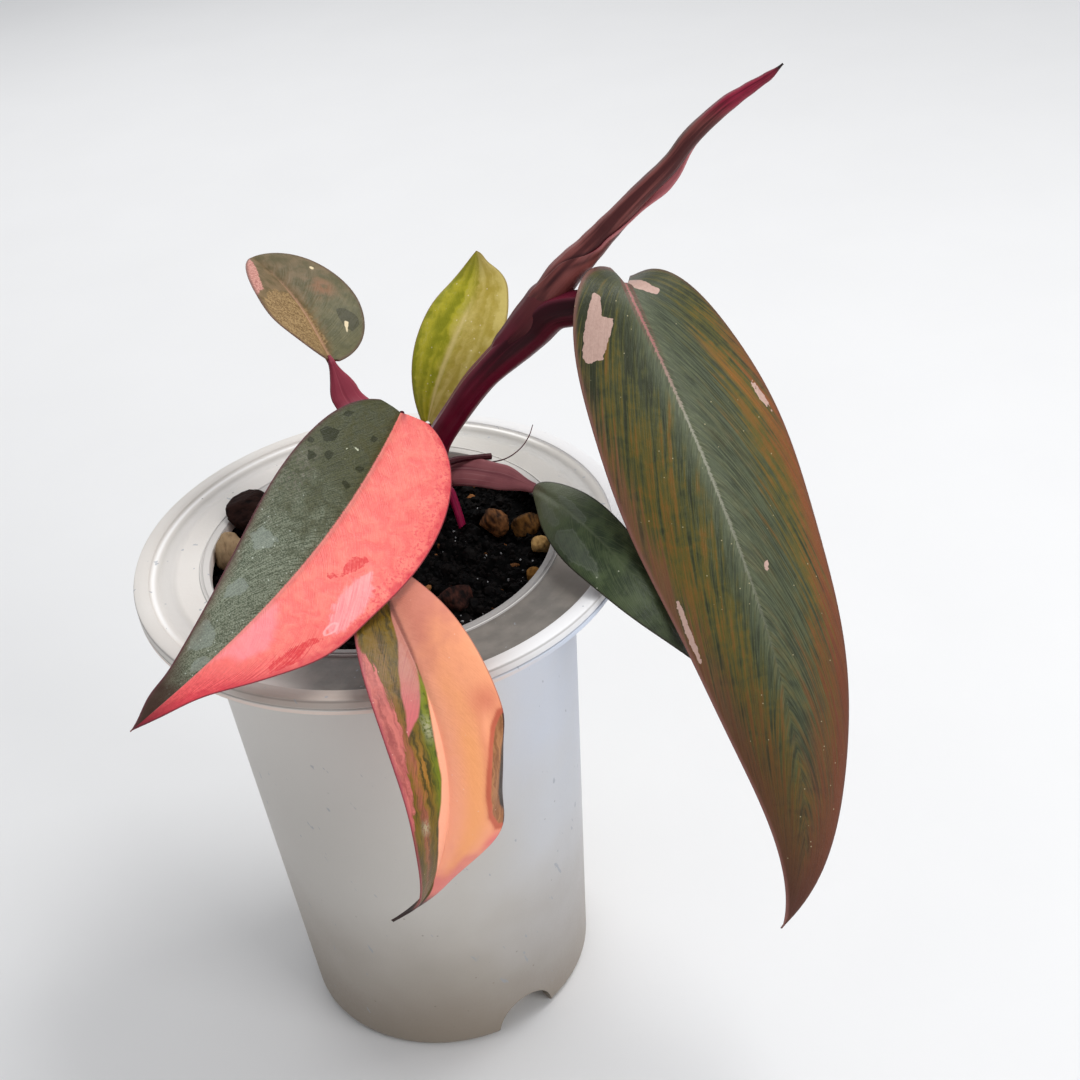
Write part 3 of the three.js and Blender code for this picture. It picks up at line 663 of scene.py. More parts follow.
def halfMoonLeafSkin():
    skin = LeafSkin("halfMoonLeafSkin", halfMoonLeaf)
    v, q, t = skin.across, skin.reach, skin.along
    fine, grainy = skin.veins(0.3, 6, 2, 3), skin.mottle(0.28, 2)
    blotch, spotty = skin.mottle(2.4, 3, 0.6), skin.mottle(0.6, 3)
    coral = mixed(rise(blotch + (fine - 0.5) * 0.4, 0.3, 0.7), tone(246, 110, 104), tone(252, 134, 120))
    veined = rise(fine + (grainy - 0.5) * 0.5, 0.54, 0.72) * rise(q, 0.0, 0.9)
    coral = mixed(veined * 0.4, coral, tone(234, 76, 84))
    coral = mixed(rise(fine * 0.5 + grainy * 0.5, 0.46, 0.36) * 0.25, coral, tone(255, 160, 150))
    speckled = rise(spotty, 0.5, 0.64) * rise(q + (blotch - 0.5) * 0.6, 0.55, 0.95) * rise(t, 0.62, 0.45)
    coral = mixed(speckled * 0.65, coral, tone(224, 56, 74))
    coral = mixed(skin.mark("paleBand", 0.3, 1.8, 1.2) * 0.6, coral, tone(255, 150, 160))
    # painted highlight: pale pink reflections on the coral half
    highlightTone = mixed(rise(fine, 0.35, 0.65), tone(244, 144, 150), tone(255, 178, 178))
    coral = mixed(skin.mark("paleHighlight", 0.7, 1.4, 0.5) * 0.75, coral, highlightTone)
    redShare = rise(fine * 0.6 + spotty * 0.4, 0.34, 0.54) * 0.85
    coral = mixed(skin.mark("redPink", 0.5, 0.8, 0.12) * redShare, coral, tone(222, 48, 54))
    lowStreaks = rise(fine, 0.5, 0.62) * hump(v, -0.74, 0.26) * rise(t, 0.52, 0.66)
    coral = mixed(lowStreaks * 0.75, coral, tone(214, 44, 60))
    # painted highlight: a pale ring round the water drop
    drop = abs(field(skin.start, "droplet") - 0.35)
    coral = mixed(rise(drop, 0.3, 0.08) * 0.6, coral, tone(255, 190, 190))
    lowTone = mixed(rise(fine * 0.7 + spotty * 0.3, 0.42, 0.6), tone(244, 88, 94), tone(198, 38, 56))
    coral = mixed(rise(t + (blotch - 0.5) * 0.2 - v * 0.08, 0.72, 0.9) * 0.8, coral, lowTone)
    edgeRed = rise(skin.fromEdge + (blotch - 0.5) * 3, 2.0, 0.2)
    coral = mixed(edgeRed * 0.6, coral, tone(206, 46, 66))
    # painted shade: dark crimson in the fold beside the stalk
    coral = mixed(skin.spot(-0.12, 0.0, 0.14, 0.05) * 0.8, coral, tone(140, 14, 50))
    coral = mixed(rise(t, 0.86, 1.0) * 0.85, coral, tone(94, 14, 34))
    green = mixed(rise(fine * 0.5 + grainy * 0.5, 0.34, 0.66), tone(52, 56, 34), tone(84, 86, 58))
    green = mixed(rise(blotch, 0.4, 0.65) * rise(t, 0.3, 0.1) * 0.5, green, tone(70, 68, 26))
    # painted sheen: the green half is painted grey over its middle and lower part, with paler sheen patches
    # and white glints in it
    sheenZone = rise(t + (blotch - 0.5) * 0.5, 0.2, 0.56) * rise(t, 0.98, 0.84)
    frosted = mixed(rise(grainy * 0.5 + fine * 0.5, 0.38, 0.62), tone(62, 72, 52), tone(140, 148, 128))
    green = mixed(sheenZone * 0.8, green, frosted)
    rosyGrey = rise(blotch * 0.5 + spotty * 0.5, 0.5, 0.6) * hump(q, 0.8, 0.3) * hump(t, 0.33, 0.2)
    green = mixed(rosyGrey * 0.4, green, tone(128, 116, 108))
    green = mixed(skin.mark("sheen", 0.5, 1.2, 0.3) * 0.4, green, tone(148, 158, 150))
    green = mixed(specks(skin.place, 1.1, 0.2, 0.4) * sheenZone * 0.7, green, tone(190, 198, 184))
    green = mixed(skin.mark("wet", 0.15, 0.8, 0.08) * 0.95, green, tone(34, 38, 0))
    green = mixed(skin.mark("glint", 0.1, 0.8, 0.08) * 0.8, green, tone(214, 218, 190))
    browned = rise(skin.fromEdge + (blotch - 0.5) * 2.4, 2.6, 0.3) * rise(t, 0.3, 0.6)
    green = mixed(browned * 0.5, green, tone(104, 88, 70))
    green = mixed(rise(t + (blotch - 0.5) * 0.1, 0.8, 0.93), green, tone(58, 38, 26))
    green = mixed(rise(skin.fromEdge + (blotch - 0.5) * 0.8, 1.0, 0.1) * 0.7, green, tone(76, 48, 40))
    split = v + (fine - 0.5) * 0.07
    colour = mixed(rise(split, -0.012, 0.02), coral, green)
    colour = mixed(hump(split, -0.02, 0.05) * rise(t, 0.02, 0.16) * 0.45, colour, tone(206, 130, 124))
    colour = mixed(rise(skin.fromEdge, 0.32, 0.12) * 0.75, colour, tone(88, 34, 48))
    height = fine * 0.35 + blotch * 0.65
    return skin.finish(colour, 0.36 + (blotch - 0.5) * 0.2, height, 0.3, tone(176, 96, 88))


droopingLeaf = dict(
    node="drooping_leaf", slot="drooping_blade",
    path=[(-1.8, -9.3, 124.4), (-5.7, -44.5, 140), (17.9, -71.2, 115.7), (-7.5, -68.7, 80.8)],
    face0=(-0.39, -0.39, 0.88), face1=(-0.01, -0.83, -0.45), half=(12.6, 11.7), fold=(-5, 49),
    curl=(-22, -2),
    rise=1.14, fall=0.835, lobe=3, ripple=(0.4, 2.5), ribHeight=0.9, veinSlant=0.25,
    tucks=[dict(side=0, along=0.69, reach=0.1, start=0.62, turn=-38, crease=0.02)], hook=(-3.2, 0.4, 0.4),
    bulges=[
        dict(side=0, along=0.81, reach=0.08, share=0.24),
        dict(side=0, along=0.93, reach=0.05, share=-0.26),
        dict(side=1, along=0.85, reach=0.1, share=0.16),
        dict(side=0, along=0.99, reach=0.03, share=-0.5),
        dict(side=1, along=0.99, reach=0.03, share=-0.5),
    ],
    marks=dict(
        olive=[[
            (-0.12, 0.2), (-0.09, 0.235), (0.0, 0.262), (0.1, 0.3), (0.16, 0.36), (0.36, 0.43), (0.45, 0.48),
            (0.48, 0.52), (0.57, 0.575), (0.4, 0.555), (0.29, 0.54), (0.15, 0.5), (0.03, 0.45),
            (-0.02, 0.42), (0, 0.487), (0.07, 0.54), (0.13, 0.6), (0.16, 0.65), (0.15, 0.68),
            (0.22, 0.73), (0.31, 0.77), (0.3, 0.82), (0.24, 0.86), (0.12, 0.89), (-0.07, 0.915),
            (-0.23, 0.94), (-0.4, 0.98), (-0.3, 1.02), (1.05, 1.02), (1.05, 0.82), (0.93, 0.76),
            (0.83, 0.71), (0.74, 0.66), (0.7, 0.6), (0.66, 0.55), (0.68, 0.5), (0.72, 0.45), (0.8, 0.4),
            (0.93, 0.355), (1.05, 0.33), (1.05, 0.2),
        ]],
        dusty=[[
            (-0.1, 0.235), (0.0, 0.262), (0.1, 0.3), (0.16, 0.36), (0.36, 0.43), (0.45, 0.48), (0.48, 0.52),
            (0.57, 0.575), (0.4, 0.555), (0.29, 0.54), (0.15, 0.5), (0.03, 0.45), (-0.02, 0.4),
            (-0.06, 0.32),
        ]],
        margin=[[
            (-1.8, 0.57), (-0.93, 0.578), (-0.8, 0.6), (-0.7, 0.64), (-0.63, 0.69), (-0.6, 0.735),
            (-0.66, 0.775), (-0.85, 0.8), (-1.8, 0.812),
        ]],
    ),
)


def droopingLeafSkin():
    skin = LeafSkin("droopingLeafSkin", droopingLeaf)
    v, t = skin.across, skin.along
    fine, spotty = skin.veins(0.35, 9, 3, 3), skin.mottle(0.5, 3)
    blotch, cloud = skin.mottle(2, 3), skin.mottle(6, 2)
    lengthwise = grain(joined(skin.start, v * 11 + (blotch - 0.5) * 2, t * 10, 2.0), 1, 3)
    peach = mixed(rise(t - v * 0.1 + (cloud - 0.5) * 0.3, 0.34, 0.56), tone(220, 136, 114),
                  tone(255, 170, 126))
    golden = hump(v, -0.42, 0.3) * rise(t + (cloud - 0.5) * 0.3, 0.46, 0.66)
    peach = mixed(golden * 0.7, peach, tone(255, 173, 108))
    besideRib = rise(v + (blotch - 0.5) * 0.2, -0.36, 0.05) * rise(t, 0.96, 0.86)
    peach = mixed(besideRib * 0.65, peach, tone(255, 174, 146))
    lower = rise(t + (cloud - 0.5) * 0.2 - v * 0.05, 0.84, 0.96)
    peach = mixed(lower * 0.8, peach, tone(222, 116, 118))
    peach = mixed(skin.spot(-0.95, 0.83, 0.3, 0.035) * 0.8, peach, tone(238, 110, 116))
    # painted shade: darker, redder peach above the tucked-under margin
    shadeAboveRoll = skin.spot(-0.8, 0.55, 0.4, 0.05) + skin.spot(-0.62, 0.63, 0.12, 0.1) * 0.5
    peach = mixed(shadeAboveRoll * 0.5, peach, tone(206, 92, 76))
    rolled = field(skin.start, "margin") + (fine - 0.5) * 0.5
    # painted shade along the crease of the tucked-under margin
    peach = mixed(rise(rolled, -1.6, 0.0) * 0.4, peach, tone(206, 104, 78))
    peach = mixed(rise(rolled, -0.9, -0.2) * 0.85, peach, tone(190, 86, 60))
    tan = mixed(rise(lengthwise, 0.36, 0.64), tone(136, 84, 46), tone(178, 120, 74))
    peach = mixed(rise(rolled, 0.3, 0.7), peach, tan)
    brown = mixed(rise(lengthwise, 0.35, 0.65), tone(38, 24, 12), tone(78, 54, 34))
    peach = mixed(rise(rolled, 2.6, 3.4), peach, brown)
    peach = mixed(rise(skin.fromEdge, 0.5, 0.2) * rise(rolled, 0.1, 0.6), peach, tone(22, 14, 12))
    rosy = mixed(rise(lengthwise * 0.8 + spotty * 0.2, 0.36, 0.64), tone(204, 112, 102), tone(156, 74, 70))
    colour = mixed(rise(v + (fine - 0.5) * 0.1, 0.42, 0.5), peach, rosy)
    dusty = mixed(rise(t + v * 0.1, 0.44, 0.6), tone(188, 124, 108), tone(208, 104, 108))
    dusty = mixed(rise(fine, 0.45, 0.65) * 0.4, dusty, tone(168, 96, 92))
    colour = mixed(skin.mark("dusty", 0.1, 1.5, 0.5, 0.4), colour, dusty)
    olive = mixed(rise(lengthwise * 0.7 + fine * 0.3, 0.38, 0.6), tone(64, 52, 0), tone(116, 90, 4))
    worn = skin.spot(0.62, 0.42, 0.3, 0.16) * rise(fine * 0.7 + spotty * 0.3, 0.36, 0.6)
    olive = mixed(worn * 0.6, olive, tone(140, 100, 66))
    reddish = hump(v + (blotch - 0.5) * 0.3, 0.66, 0.16) * rise(t, 0.44, 0.6) * rise(fine, 0.3, 0.6)
    olive = mixed(reddish * 0.8, olive, tone(176, 92, 72))
    olive = mixed(skin.spot(0.48, 0.66, 0.24, 0.1) * rise(lengthwise, 0.44, 0.6), olive, tone(164, 112, 40))
    green = mixed(rise(blotch * 0.3 + lengthwise * 0.7, 0.38, 0.6), tone(58, 70, 0), tone(116, 124, 16))
    greener = rise(v + (blotch - 0.5) * 0.2, 0.42, 0.2) * rise(t, 0.4, 0.48) * rise(t, 0.84, 0.76)
    olive = mixed(greener, olive, green)
    shine = skin.spot(0.2, 0.57, 0.14, 0.045) + skin.spot(0.66, 0.77, 0.16, 0.022)
    olive = mixed(shine * rise(spotty, 0.3, 0.55) * 0.7, olive, tone(180, 176, 140))
    olive = mixed(rise(t, 0.78, 0.9) * 0.6, olive, tone(88, 68, 4))
    streaky = rise(v, 0.5, 0.62) * 5 + 0.6
    oliveEdge = field(skin.start, "olive") + (lengthwise - 0.5) * streaky
    colour = mixed(rise(oliveEdge, -0.3, 0.3), colour, olive)
    leftMargin = rise(skin.fromEdge + (fine - 0.5) * 1.6, 0.9, 0.1) * rise(v, -0.2, 0.3)
    colour = mixed(leftMargin * 0.7, colour, tone(164, 62, 80))
    colour = mixed(rise(skin.fromEdge, 0.3, 0.1) * 0.5, colour, tone(112, 44, 48))
    colour = mixed(rise(t, 0.93, 0.965), colour, tone(50, 32, 28))
    colour = mixed(specks(skin.place, 1.7, 0.15, 0.3) * 0.4, colour, tone(255, 220, 200))
    height = fine * 0.15 + blotch * 0.6 + cloud * 0.25
    return skin.finish(colour, 0.38, height, 0.25, tone(214, 128, 112), rise(t, 0.965, 0.93) * 0.6)


darkLeaf = dict(
    node="dark_leaf", slot="dark_blade",
    path=[(33.4, 1, 127.2), (33.5, -12.3, 135.5), (44.8, -39, 137.6), (57.8, -38.4, 104.8)],
    face0=(-0.55, -0.47, 0.68), face1=(0.36, -0.34, 0.85), half=(5.7, 8), fold=(10, -9), curl=(-14, -18),
    rise=1.17, fall=0.99, lobe=2, ripple=(0.3, 3), ribHeight=0.7, veinSlant=0.3,
    marks=dict(dew=[
        [(-0.4, 0.27), (-0.1, 0.32), (0.05, 0.43), (-0.02, 0.47), (-0.2, 0.46), (-0.35, 0.4)],
        [(0.3, 0.2), (0.5, 0.2), (0.65, 0.27), (0.6, 0.36), (0.42, 0.38), (0.3, 0.3)],
        [(0.32, 0.45), (0.6, 0.4), (0.85, 0.42), (0.84, 0.54), (0.7, 0.62), (0.75, 0.65), (0.55, 0.62),
         (0.36, 0.52)],
    ]),
)


def darkLeafSkin():
    skin = LeafSkin("darkLeafSkin", darkLeaf)
    t = skin.along
    fine, blotch = skin.veins(0.4, 6, 4, 3), skin.mottle(3, 3)
    colour = mixed(rise(blotch + (fine - 0.5) * 0.5, 0.3, 0.7), tone(44, 58, 34), tone(78, 92, 58))
    colour = mixed(rise(fine, 0.5, 0.7) * 0.4, colour, tone(96, 104, 74))
    colour = mixed(rise(t + (blotch - 0.5) * 0.2, 0.5, 0.2) * 0.8, colour, tone(116, 124, 92))
    # painted sheen: dew drops show as pale grey patches with paler rims
    colour = mixed(skin.mark("dew", 0.5, 1.6, 0.9) * 0.35, colour, tone(114, 120, 110))
    rim = hump(field(skin.start, "dew") + (skin.mottle(1.6) - 0.5) * 2, 0.0, 0.3)
    colour = mixed(rim * 0.2, colour, tone(142, 148, 132))
    rib = rise(skin.fromRib + (fine - 0.5) * 0.4, 0.4, 0.08) * rise(t, 0.8, 0.4)
    colour = mixed(rib * 0.45, colour, tone(112, 120, 92))
    colour = mixed(rise(t, 0.5, 0.95) * 0.5, colour, tone(40, 42, 26))
    colour = mixed(rise(skin.fromEdge, 0.5, 0.1) * 0.8, colour, tone(38, 30, 22))
    colour = mixed(specks(skin.place, 2.2, 0.2, 0.4) * 0.6, colour, tone(190, 194, 170))
    height = fine * 0.3 + blotch * 0.7
    return skin.finish(colour, 0.33 + (blotch - 0.5) * 0.2, height, 0.25, tone(92, 66, 60))


ovalLeaf = dict(
    node="oval_leaf", slot="oval_blade",
    path=[(-3.5, 19, 155.6), (-5.6, 27.8, 156.8), (-7.4, 35.3, 164.2), (-16.4, 45.5, 169.2)],
    face0=(0.17, -0.36, 0.91), face1=(0.03, -0.4, 0.91), half=(12.4, 12.6), fold=(40, 1), curl=(0, -16),
    rise=0.66, fall=0.62, lobe=1, ripple=(0.2, 2), ribHeight=0.8, veinSlant=0.3,
    marks=dict(
        rose=[[(-1.03, 0.62), (-0.86, 0.68), (-0.72, 0.7), (-0.68, 0.78), (-0.56, 0.86), (-0.5, 0.95),
               (-0.8, 1.0), (-1.03, 0.95)]],
        water=[[(0.52, 0.45), (0.66, 0.44), (0.86, 0.36), (0.88, 0.3), (0.72, 0.25), (0.56, 0.3),
                (0.5, 0.38)]],
        glint=[[(0.58, 0.35), (0.66, 0.33), (0.62, 0.27), (0.6, 0.25), (0.57, 0.31)],
               [(0.72, 0.77), (0.78, 0.775), (0.8, 0.75), (0.73, 0.75)]],
        tan=[[(-1.02, 0.1), (-0.7, 0.02), (-0.2, 0.1), (0.1, 0.2), (0.06, 0.5), (-0.1, 0.66),
              (-0.5, 0.7), (-0.85, 0.6), (-1.02, 0.4)]],
    ),
)


def ovalLeafSkin():
    skin = LeafSkin("ovalLeafSkin", ovalLeaf)
    v, t = skin.across, skin.along
    fine, spotty = skin.veins(0.45, 5, 6, 3), skin.mottle(0.45, 3)
    blotch = skin.mottle(2.2, 3)
    leftTone = mixed(rise(blotch, 0.3, 0.7), tone(104, 82, 46), tone(134, 108, 70))
    rightTone = mixed(rise(blotch * 0.6 + fine * 0.4, 0.3, 0.7), tone(76, 74, 42), tone(104, 98, 64))
    colour = mixed(rise(v + (fine - 0.5) * 0.4, -0.1, 0.3), leftTone, rightTone)
    far = mixed(rise(blotch, 0.3, 0.7), tone(94, 84, 56), tone(122, 102, 76))
    colour = mixed(rise(t + (blotch - 0.5) * 0.4, 0.4, 0.8) * 0.8, colour, far)
    rusty = skin.spot(0.55, 0.62, 0.3, 0.12) * rise(blotch, 0.3, 0.6)
    colour = mixed(rusty * 0.6, colour, tone(150, 92, 58))
    tan = mixed(rise(fine * 0.4 + spotty * 0.6, 0.36, 0.64), tone(104, 78, 42), tone(172, 142, 98))
    colour = mixed(skin.mark("tan", 0.8, 1.4, 0.5) * 0.9, colour, tan)
    rose = mixed(rise(spotty, 0.35, 0.65), tone(176, 112, 104), tone(218, 160, 146))
    colour = mixed(skin.mark("rose", 0.4, 1.1, 0.25) * 0.9, colour, rose)
    colour = mixed(rise(skin.fromEdge + (fine - 0.5) * 0.4, 0.9, 0.15) * 0.65, colour, tone(92, 66, 56))
    rib = rise(skin.fromRib + (spotty - 0.5) * 0.8, 0.6, 0.1) * rise(t, 0.95, 0.6)
    colour = mixed(rib * 0.6, colour, tone(180, 136, 106))
    colour = mixed(skin.mark("water", 0.1, 0.8, 0.1) * 0.75, colour, tone(48, 46, 12))
    colour = mixed(skin.mark("glint", 0.1, 0.8, 0.1) * 0.85, colour, tone(240, 220, 180))
    colour = mixed(specks(skin.place, 1.4, 0.16, 0.4) * 0.45, colour, tone(66, 56, 40))
    return skin.finish(colour, 0.42, fine * 0.3 + blotch * 0.7, 0.25, tone(150, 104, 92))


limeLeaf = dict(
    node="lime_leaf", slot="lime_blade",
    path=[(14.2, 19.2, 136.5), (20.2, 23.5, 155.3), (31.2, 31.6, 156), (31.2, 37.7, 166)],
    face0=(-0.01, -0.61, 0.79), face1=(-0.12, -0.54, 0.83), half=(9.6, 9.9), fold=(-12, 10), curl=(-18, -7),
    rise=0.74, fall=0.85, lobe=1, ripple=(0.3, 2), ribHeight=0.8, veinSlant=0.3,
    bulges=[
        dict(side=1, along=0.94, reach=0.05, share=-0.3),
        dict(side=1, along=0.82, reach=0.07, share=0.08),
    ],
)


def limeLeafSkin():
    skin = LeafSkin("limeLeafSkin", limeLeaf)
    v, t = skin.across, skin.along
    fine, spotty = skin.veins(0.5, 5, 7, 3), skin.mottle(0.8, 3)
    blotch = skin.mottle(2.4, 3)
    lengthwise = grain(joined(skin.start, v * 4 + (blotch - 0.5) * 1.2, t * 1.6, 4.0), 1, 3)
    green = mixed(rise(lengthwise * 0.6 + blotch * 0.4, 0.36, 0.62), tone(142, 142, 2), tone(188, 178, 40))
    green = mixed(rise(spotty * 0.5 + lengthwise * 0.5, 0.54, 0.66) * 0.4, green, tone(186, 180, 84))
    gold = mixed(rise(lengthwise * 0.7 + blotch * 0.3, 0.38, 0.62), tone(182, 160, 62), tone(212, 192, 108))
    split = v + (lengthwise - 0.5) * 0.5 + (blotch - 0.5) * 0.3
    colour = mixed(rise(split, -0.2, 0.2), green, gold)
    topTone = mixed(rise(v, 0, 0.5), tone(142, 134, 44), tone(176, 156, 92))
    colour = mixed(rise(t, 0.75, 0.98) * 0.6, colour, topTone)
    creamy = rise(abs(v - 0.03 + (lengthwise - 0.5) * 0.2), 0.1, 0.0) * rise(t, 0.72, 0.5)
    colour = mixed(creamy * 0.7, colour, tone(230, 208, 138))
    edgeTone = mixed(rise(v, -0.2, 0.2), tone(150, 112, 70), tone(140, 116, 64))
    colour = mixed(rise(skin.fromEdge + (fine - 0.5) * 0.3, 0.5, 0.1) * 0.7, colour, edgeTone)
    colour = mixed(specks(skin.place, 1.5, 0.2, 0.5) * 0.5, colour, tone(244, 234, 200))
    return skin.finish(colour, 0.4, fine * 0.2 + blotch * 0.8, 0.22, tone(172, 160, 90))


blades = dict(
    bigLeafBlade=(bigLeaf, bigLeafSkin),
    halfMoonLeafBlade=(halfMoonLeaf, halfMoonLeafSkin),
    droopingLeafBlade=(droopingLeaf, droopingLeafSkin),
    darkLeafBlade=(darkLeaf, darkLeafSkin),
    ovalLeafBlade=(ovalLeaf, ovalLeafSkin),
    limeLeafBlade=(limeLeaf, limeLeafSkin),
)

for bladeName, (leaf, skinOf) in blades.items():
    makeBlade(bladeName, leaf, skinOf())
print("leaf blades ready")


# Stalks, stem, stub and root


tube = dict(rows=90, sheathRows=50, sides=64, sinkFrom=0.8, sinkReach=0.2, closing=0.8)


def stalkTube(stalk, rows):
    # a tube along the route: width and depth are read along it, the channel runs down its front
    sides = tube["sides"]
    points, tangents = smoothRoute(stalk["route"], rows)
    startOn, endOn = stalk.get("runOn", (0, 0))
    points[0] -= tangents[0] * startOn
    points[-1] += tangents[-1] * endOn
    t = np.linspace(0, 1, rows)[:, None]
    sunk = np.clip((t - tube["sinkFrom"]) / tube["sinkReach"], 0, 1) ** 2
    points = points + sunk * np.array(stalk.get("sinkEnd", (0, 0, 0)), float)
    across, face = axesAlong(tangents, stalk["facing"])
    angle = 2 * np.pi * np.arange(sides)[None, :] / sides
    nearEnd = np.clip(1 - (1 - t) / max(stalk.get("closeOver", 0), 1e-6), 0, 1)
    closing = np.sqrt(1 - tube["closing"] * nearEnd ** 2)
    wide = reading(stalk["width"], t) / 2 * closing
    deep = reading(stalk["depth"], t) / 2 * closing
    ribs = np.sin(7 * angle + 2.0 * t) + 0.6 * np.sin(13 * angle - 3.0 * t + 1)
    wobble = 1 + stalk.get("ridges", 0) * ribs * np.sin(np.pi * t) ** 0.3
    channel = stalk.get("groove", 0) * deep * np.maximum(0, np.sin(angle)) ** 4
    x = wide * np.cos(angle) * wobble
    y = deep * np.sin(angle) * wobble - channel
    rings = inSection(points, across, face, x, y)
    late = t + stalk.get("later", 0)
    section = np.stack(np.broadcast_arrays(np.cos(angle), np.sin(angle), late), -1).reshape(-1, 3)
    section = np.vstack([section, [[0, 0, late.min()], [0, 0, late.max()]]])
    allPoints = np.vstack([rings.reshape(-1, 3), points[:1], points[-1:]])
    return allPoints, ringFaces(rows, sides), section


def makeStalk(name, stalk, material):
    points, faces, section = stalkTube(stalk, tube["rows"])
    if "sheath" in stalk:
        morePoints, moreFaces, moreSection = stalkTube(stalk["sheath"], tube["sheathRows"])
        faces = faces + [tuple(corner + len(points) for corner in face) for face in moreFaces]
        points, section = np.vstack([points, morePoints]), np.vstack([section, moreSection])
    piece = makePiece(name, points, faces, {"section": section})
    return seat(piece, material, stalk["slot"], *stalk.get("nodes", ()))


def stalkSkin(name, dark, mid, bright, length, streak=0.2, lit=0.0):
    # length is the stalk's, in millimetres; t runs from 0 to 1 along it, and a sheath adds 1
    material, start = newMaterial(name)
    wide, high, t = field(start, "section", "Vector").split()
    bands = grain(joined(start, wide * 1.2, high * 1.2, t * (length / 60)), 1, 1)
    lines = grain(joined(start, wide * 7, high * 7, t * (length / 16)), 1, 2)
    colour = mixed(rise(bands + (lines - 0.5) * 0.15, 0.4, 0.58), dark, mid)
    # painted light: the side the stalk faces is painted brighter, by as much as lit says
    colour = mixed(rise(high + (bands - 0.5), 0.3, 0.75) * lit, colour, bright)
    colour = mixed(rise(lines, 0.56, 0.72) * streak, colour, bright)
    colour = mixed(rise(grain(inMillimetres(start), 4, 3), 0.45, 0.75) * 0.3, colour, dark)
    colour = mixed(rise(t + (lines - 0.5) * 0.3, 1.25, 1.8), colour, tone(94, 40, 44))
    finishMaterial(start, colour, 0.36 + (lines - 0.5) * 0.15, bands * 0.7 + lines * 0.3, 0.2,
                   Specular_IOR_Level=0.2)
    return material


stalks = dict(
    mainStem=dict(
        nodes=("main_stem",), slot="stem",
        route=[(8.5, 12.5, 92), (10.5, 12, 110), (11.8, 10.4, 122), (13.4, 7.9, 132.7)],
        width=(5.6, 6.4, 6.8, 6.4), depth=(5.6, 6.4, 6.8, 6.4), facing=(0, -1, 0), runOn=(0, 1.5),
        ridges=0.03),
    bigLeafStalk=dict(
        nodes=("big_leaf_stalk",), slot="stalk",
        route=[(13.5, 7.7, 133.2), (15.1, 5.5, 140.3), (20.1, 5, 147.3), (25, 4, 153.6), (31, 2.5, 159.5),
               (37, 1, 164.6), (41, -1, 168.7), (46.6, -3, 170), (50, -4.5, 172.2), (54.6, -5.8, 173.9)],
        width=(6, 6.2, 6.4, 6.2, 5.6, 4), depth=(5.9, 6.2, 6.8, 8.4, 8.4, 4.2), facing=(-0.68, 0.2, 0.7),
        groove=0.3, runOn=(1, 2), ridges=0.012, sinkEnd=(-0.5, 1.8, -1.7),
        sheath=dict(
            route=[(27, 3.4, 155.8), (33, 2.5, 162.4), (38.6, 1.7, 168.2), (42.3, 1.7, 172.9)],
            width=(2.6, 6.4, 7.8, 7.8), depth=(2.6, 6, 7.4, 7.6), facing=(-0.68, 0.2, 0.7),
            later=1, closeOver=0.2, ridges=0.012)),
    halfMoonLeafStalk=dict(
        nodes=("half_moon_leaf_stalk",), slot="stalk",
        route=[(11.5, 7.6, 129.4), (9.4, 4, 139), (8.4, -0.6, 147), (8.8, -2.6, 153.4)],
        width=(4.4, 3.2, 2.4, 1.1), depth=(3.6, 2.8, 2, 1.1), facing=(0, -1, 0.3), groove=0.2, runOn=(1, -1),
        sinkEnd=(-0.3, 0.2, -0.6)),
    ovalLeafStalk=dict(
        nodes=("oval_leaf_stalk",), slot="stalk",
        route=[(11, 11.6, 127), (5, 15.5, 138), (-1.3, 18, 145.8), (-2.7, 18.6, 151), (-3.6, 19, 155.5)],
        width=(6.2, 7, 7.4, 6.6, 1.6), depth=(3, 2.4, 2, 1.8, 1.5), facing=(0.3, -0.75, 0.55), groove=0.25,
        runOn=(1, 1.2), finish="rosy"),
    limeLeafStalk=dict(
        nodes=("lime_leaf_stalk",), slot="stalk",
        route=[(12.2, 11, 125.6), (13.4, 15.5, 129.6), (14.2, 18.3, 134), (14.2, 19.3, 136.6)],
        width=(4, 3, 2.2, 1.6), depth=(3, 2.4, 1.8, 1.4), facing=(0, -1, 0.4), groove=0.2, runOn=(1, -0.2)),
    droopingLeafStalk=dict(
        nodes=("drooping_leaf_stalk",), slot="dusky_stalk",
        route=[(11, 9, 120.6), (7.6, 2.4, 123.8), (2.8, -4, 125.2), (-2, -9.8, 124.5)],
        width=(4.2, 3.4, 2.8, 2.4), depth=(3.2, 2.8, 2.4, 2), facing=(0, -0.2, 1), groove=0.2,
        runOn=(1, 1.5)),
    darkLeafStalk=dict(
        nodes=("dark_leaf_stalk",), slot="dusky_stalk",
        route=[(12.6, 11, 124.6), (17.3, 12.5, 127.4), (26.2, 7.3, 128), (33.6, 1.3, 127.1)],
        width=(5, 7, 6.2, 2.4), depth=(2.6, 1.8, 1.6, 1.4), facing=(-0.1, -0.5, 0.85), groove=0.2,
        runOn=(1, 1.2)),
    dryStub=dict(
        nodes=("dry_stub",), slot="twig",
        route=[(13.2, 11, 130.2), (19.5, 12.6, 130.4), (26.6, 12.8, 129.6)],
        width=(2.2, 1.6, 1.1, 1.5), depth=(2.2, 1.6, 1.1, 1.4), facing=(0, 0, 1), runOn=(1, 0), ridges=0.06),
    strayFibre=dict(
        slot="twig",
        route=[(25.2, 11.1, 129.2), (29.3, 12.7, 128.4), (32.9, 16.2, 127.9), (35.9, 21.2, 127.7),
               (37.7, 25.9, 127.8)],
        width=(0.3, 0.26, 0.2), depth=(0.3, 0.26, 0.2), facing=(0, 0, 1)),
    aerialRoot=dict(
        nodes=("aerial_root",), slot="root",
        route=[(13.4, 10.9, 125.2), (16.1, 11.1, 124.4), (17.1, 9.9, 121), (17.8, 7.8, 116.4),
               (17.9, 7, 110.5)],
        width=(2, 1.9, 1.7, 0.9), depth=(2, 1.9, 1.7, 0.9), facing=(1, 0, 0.2), runOn=(1, 0)),
)

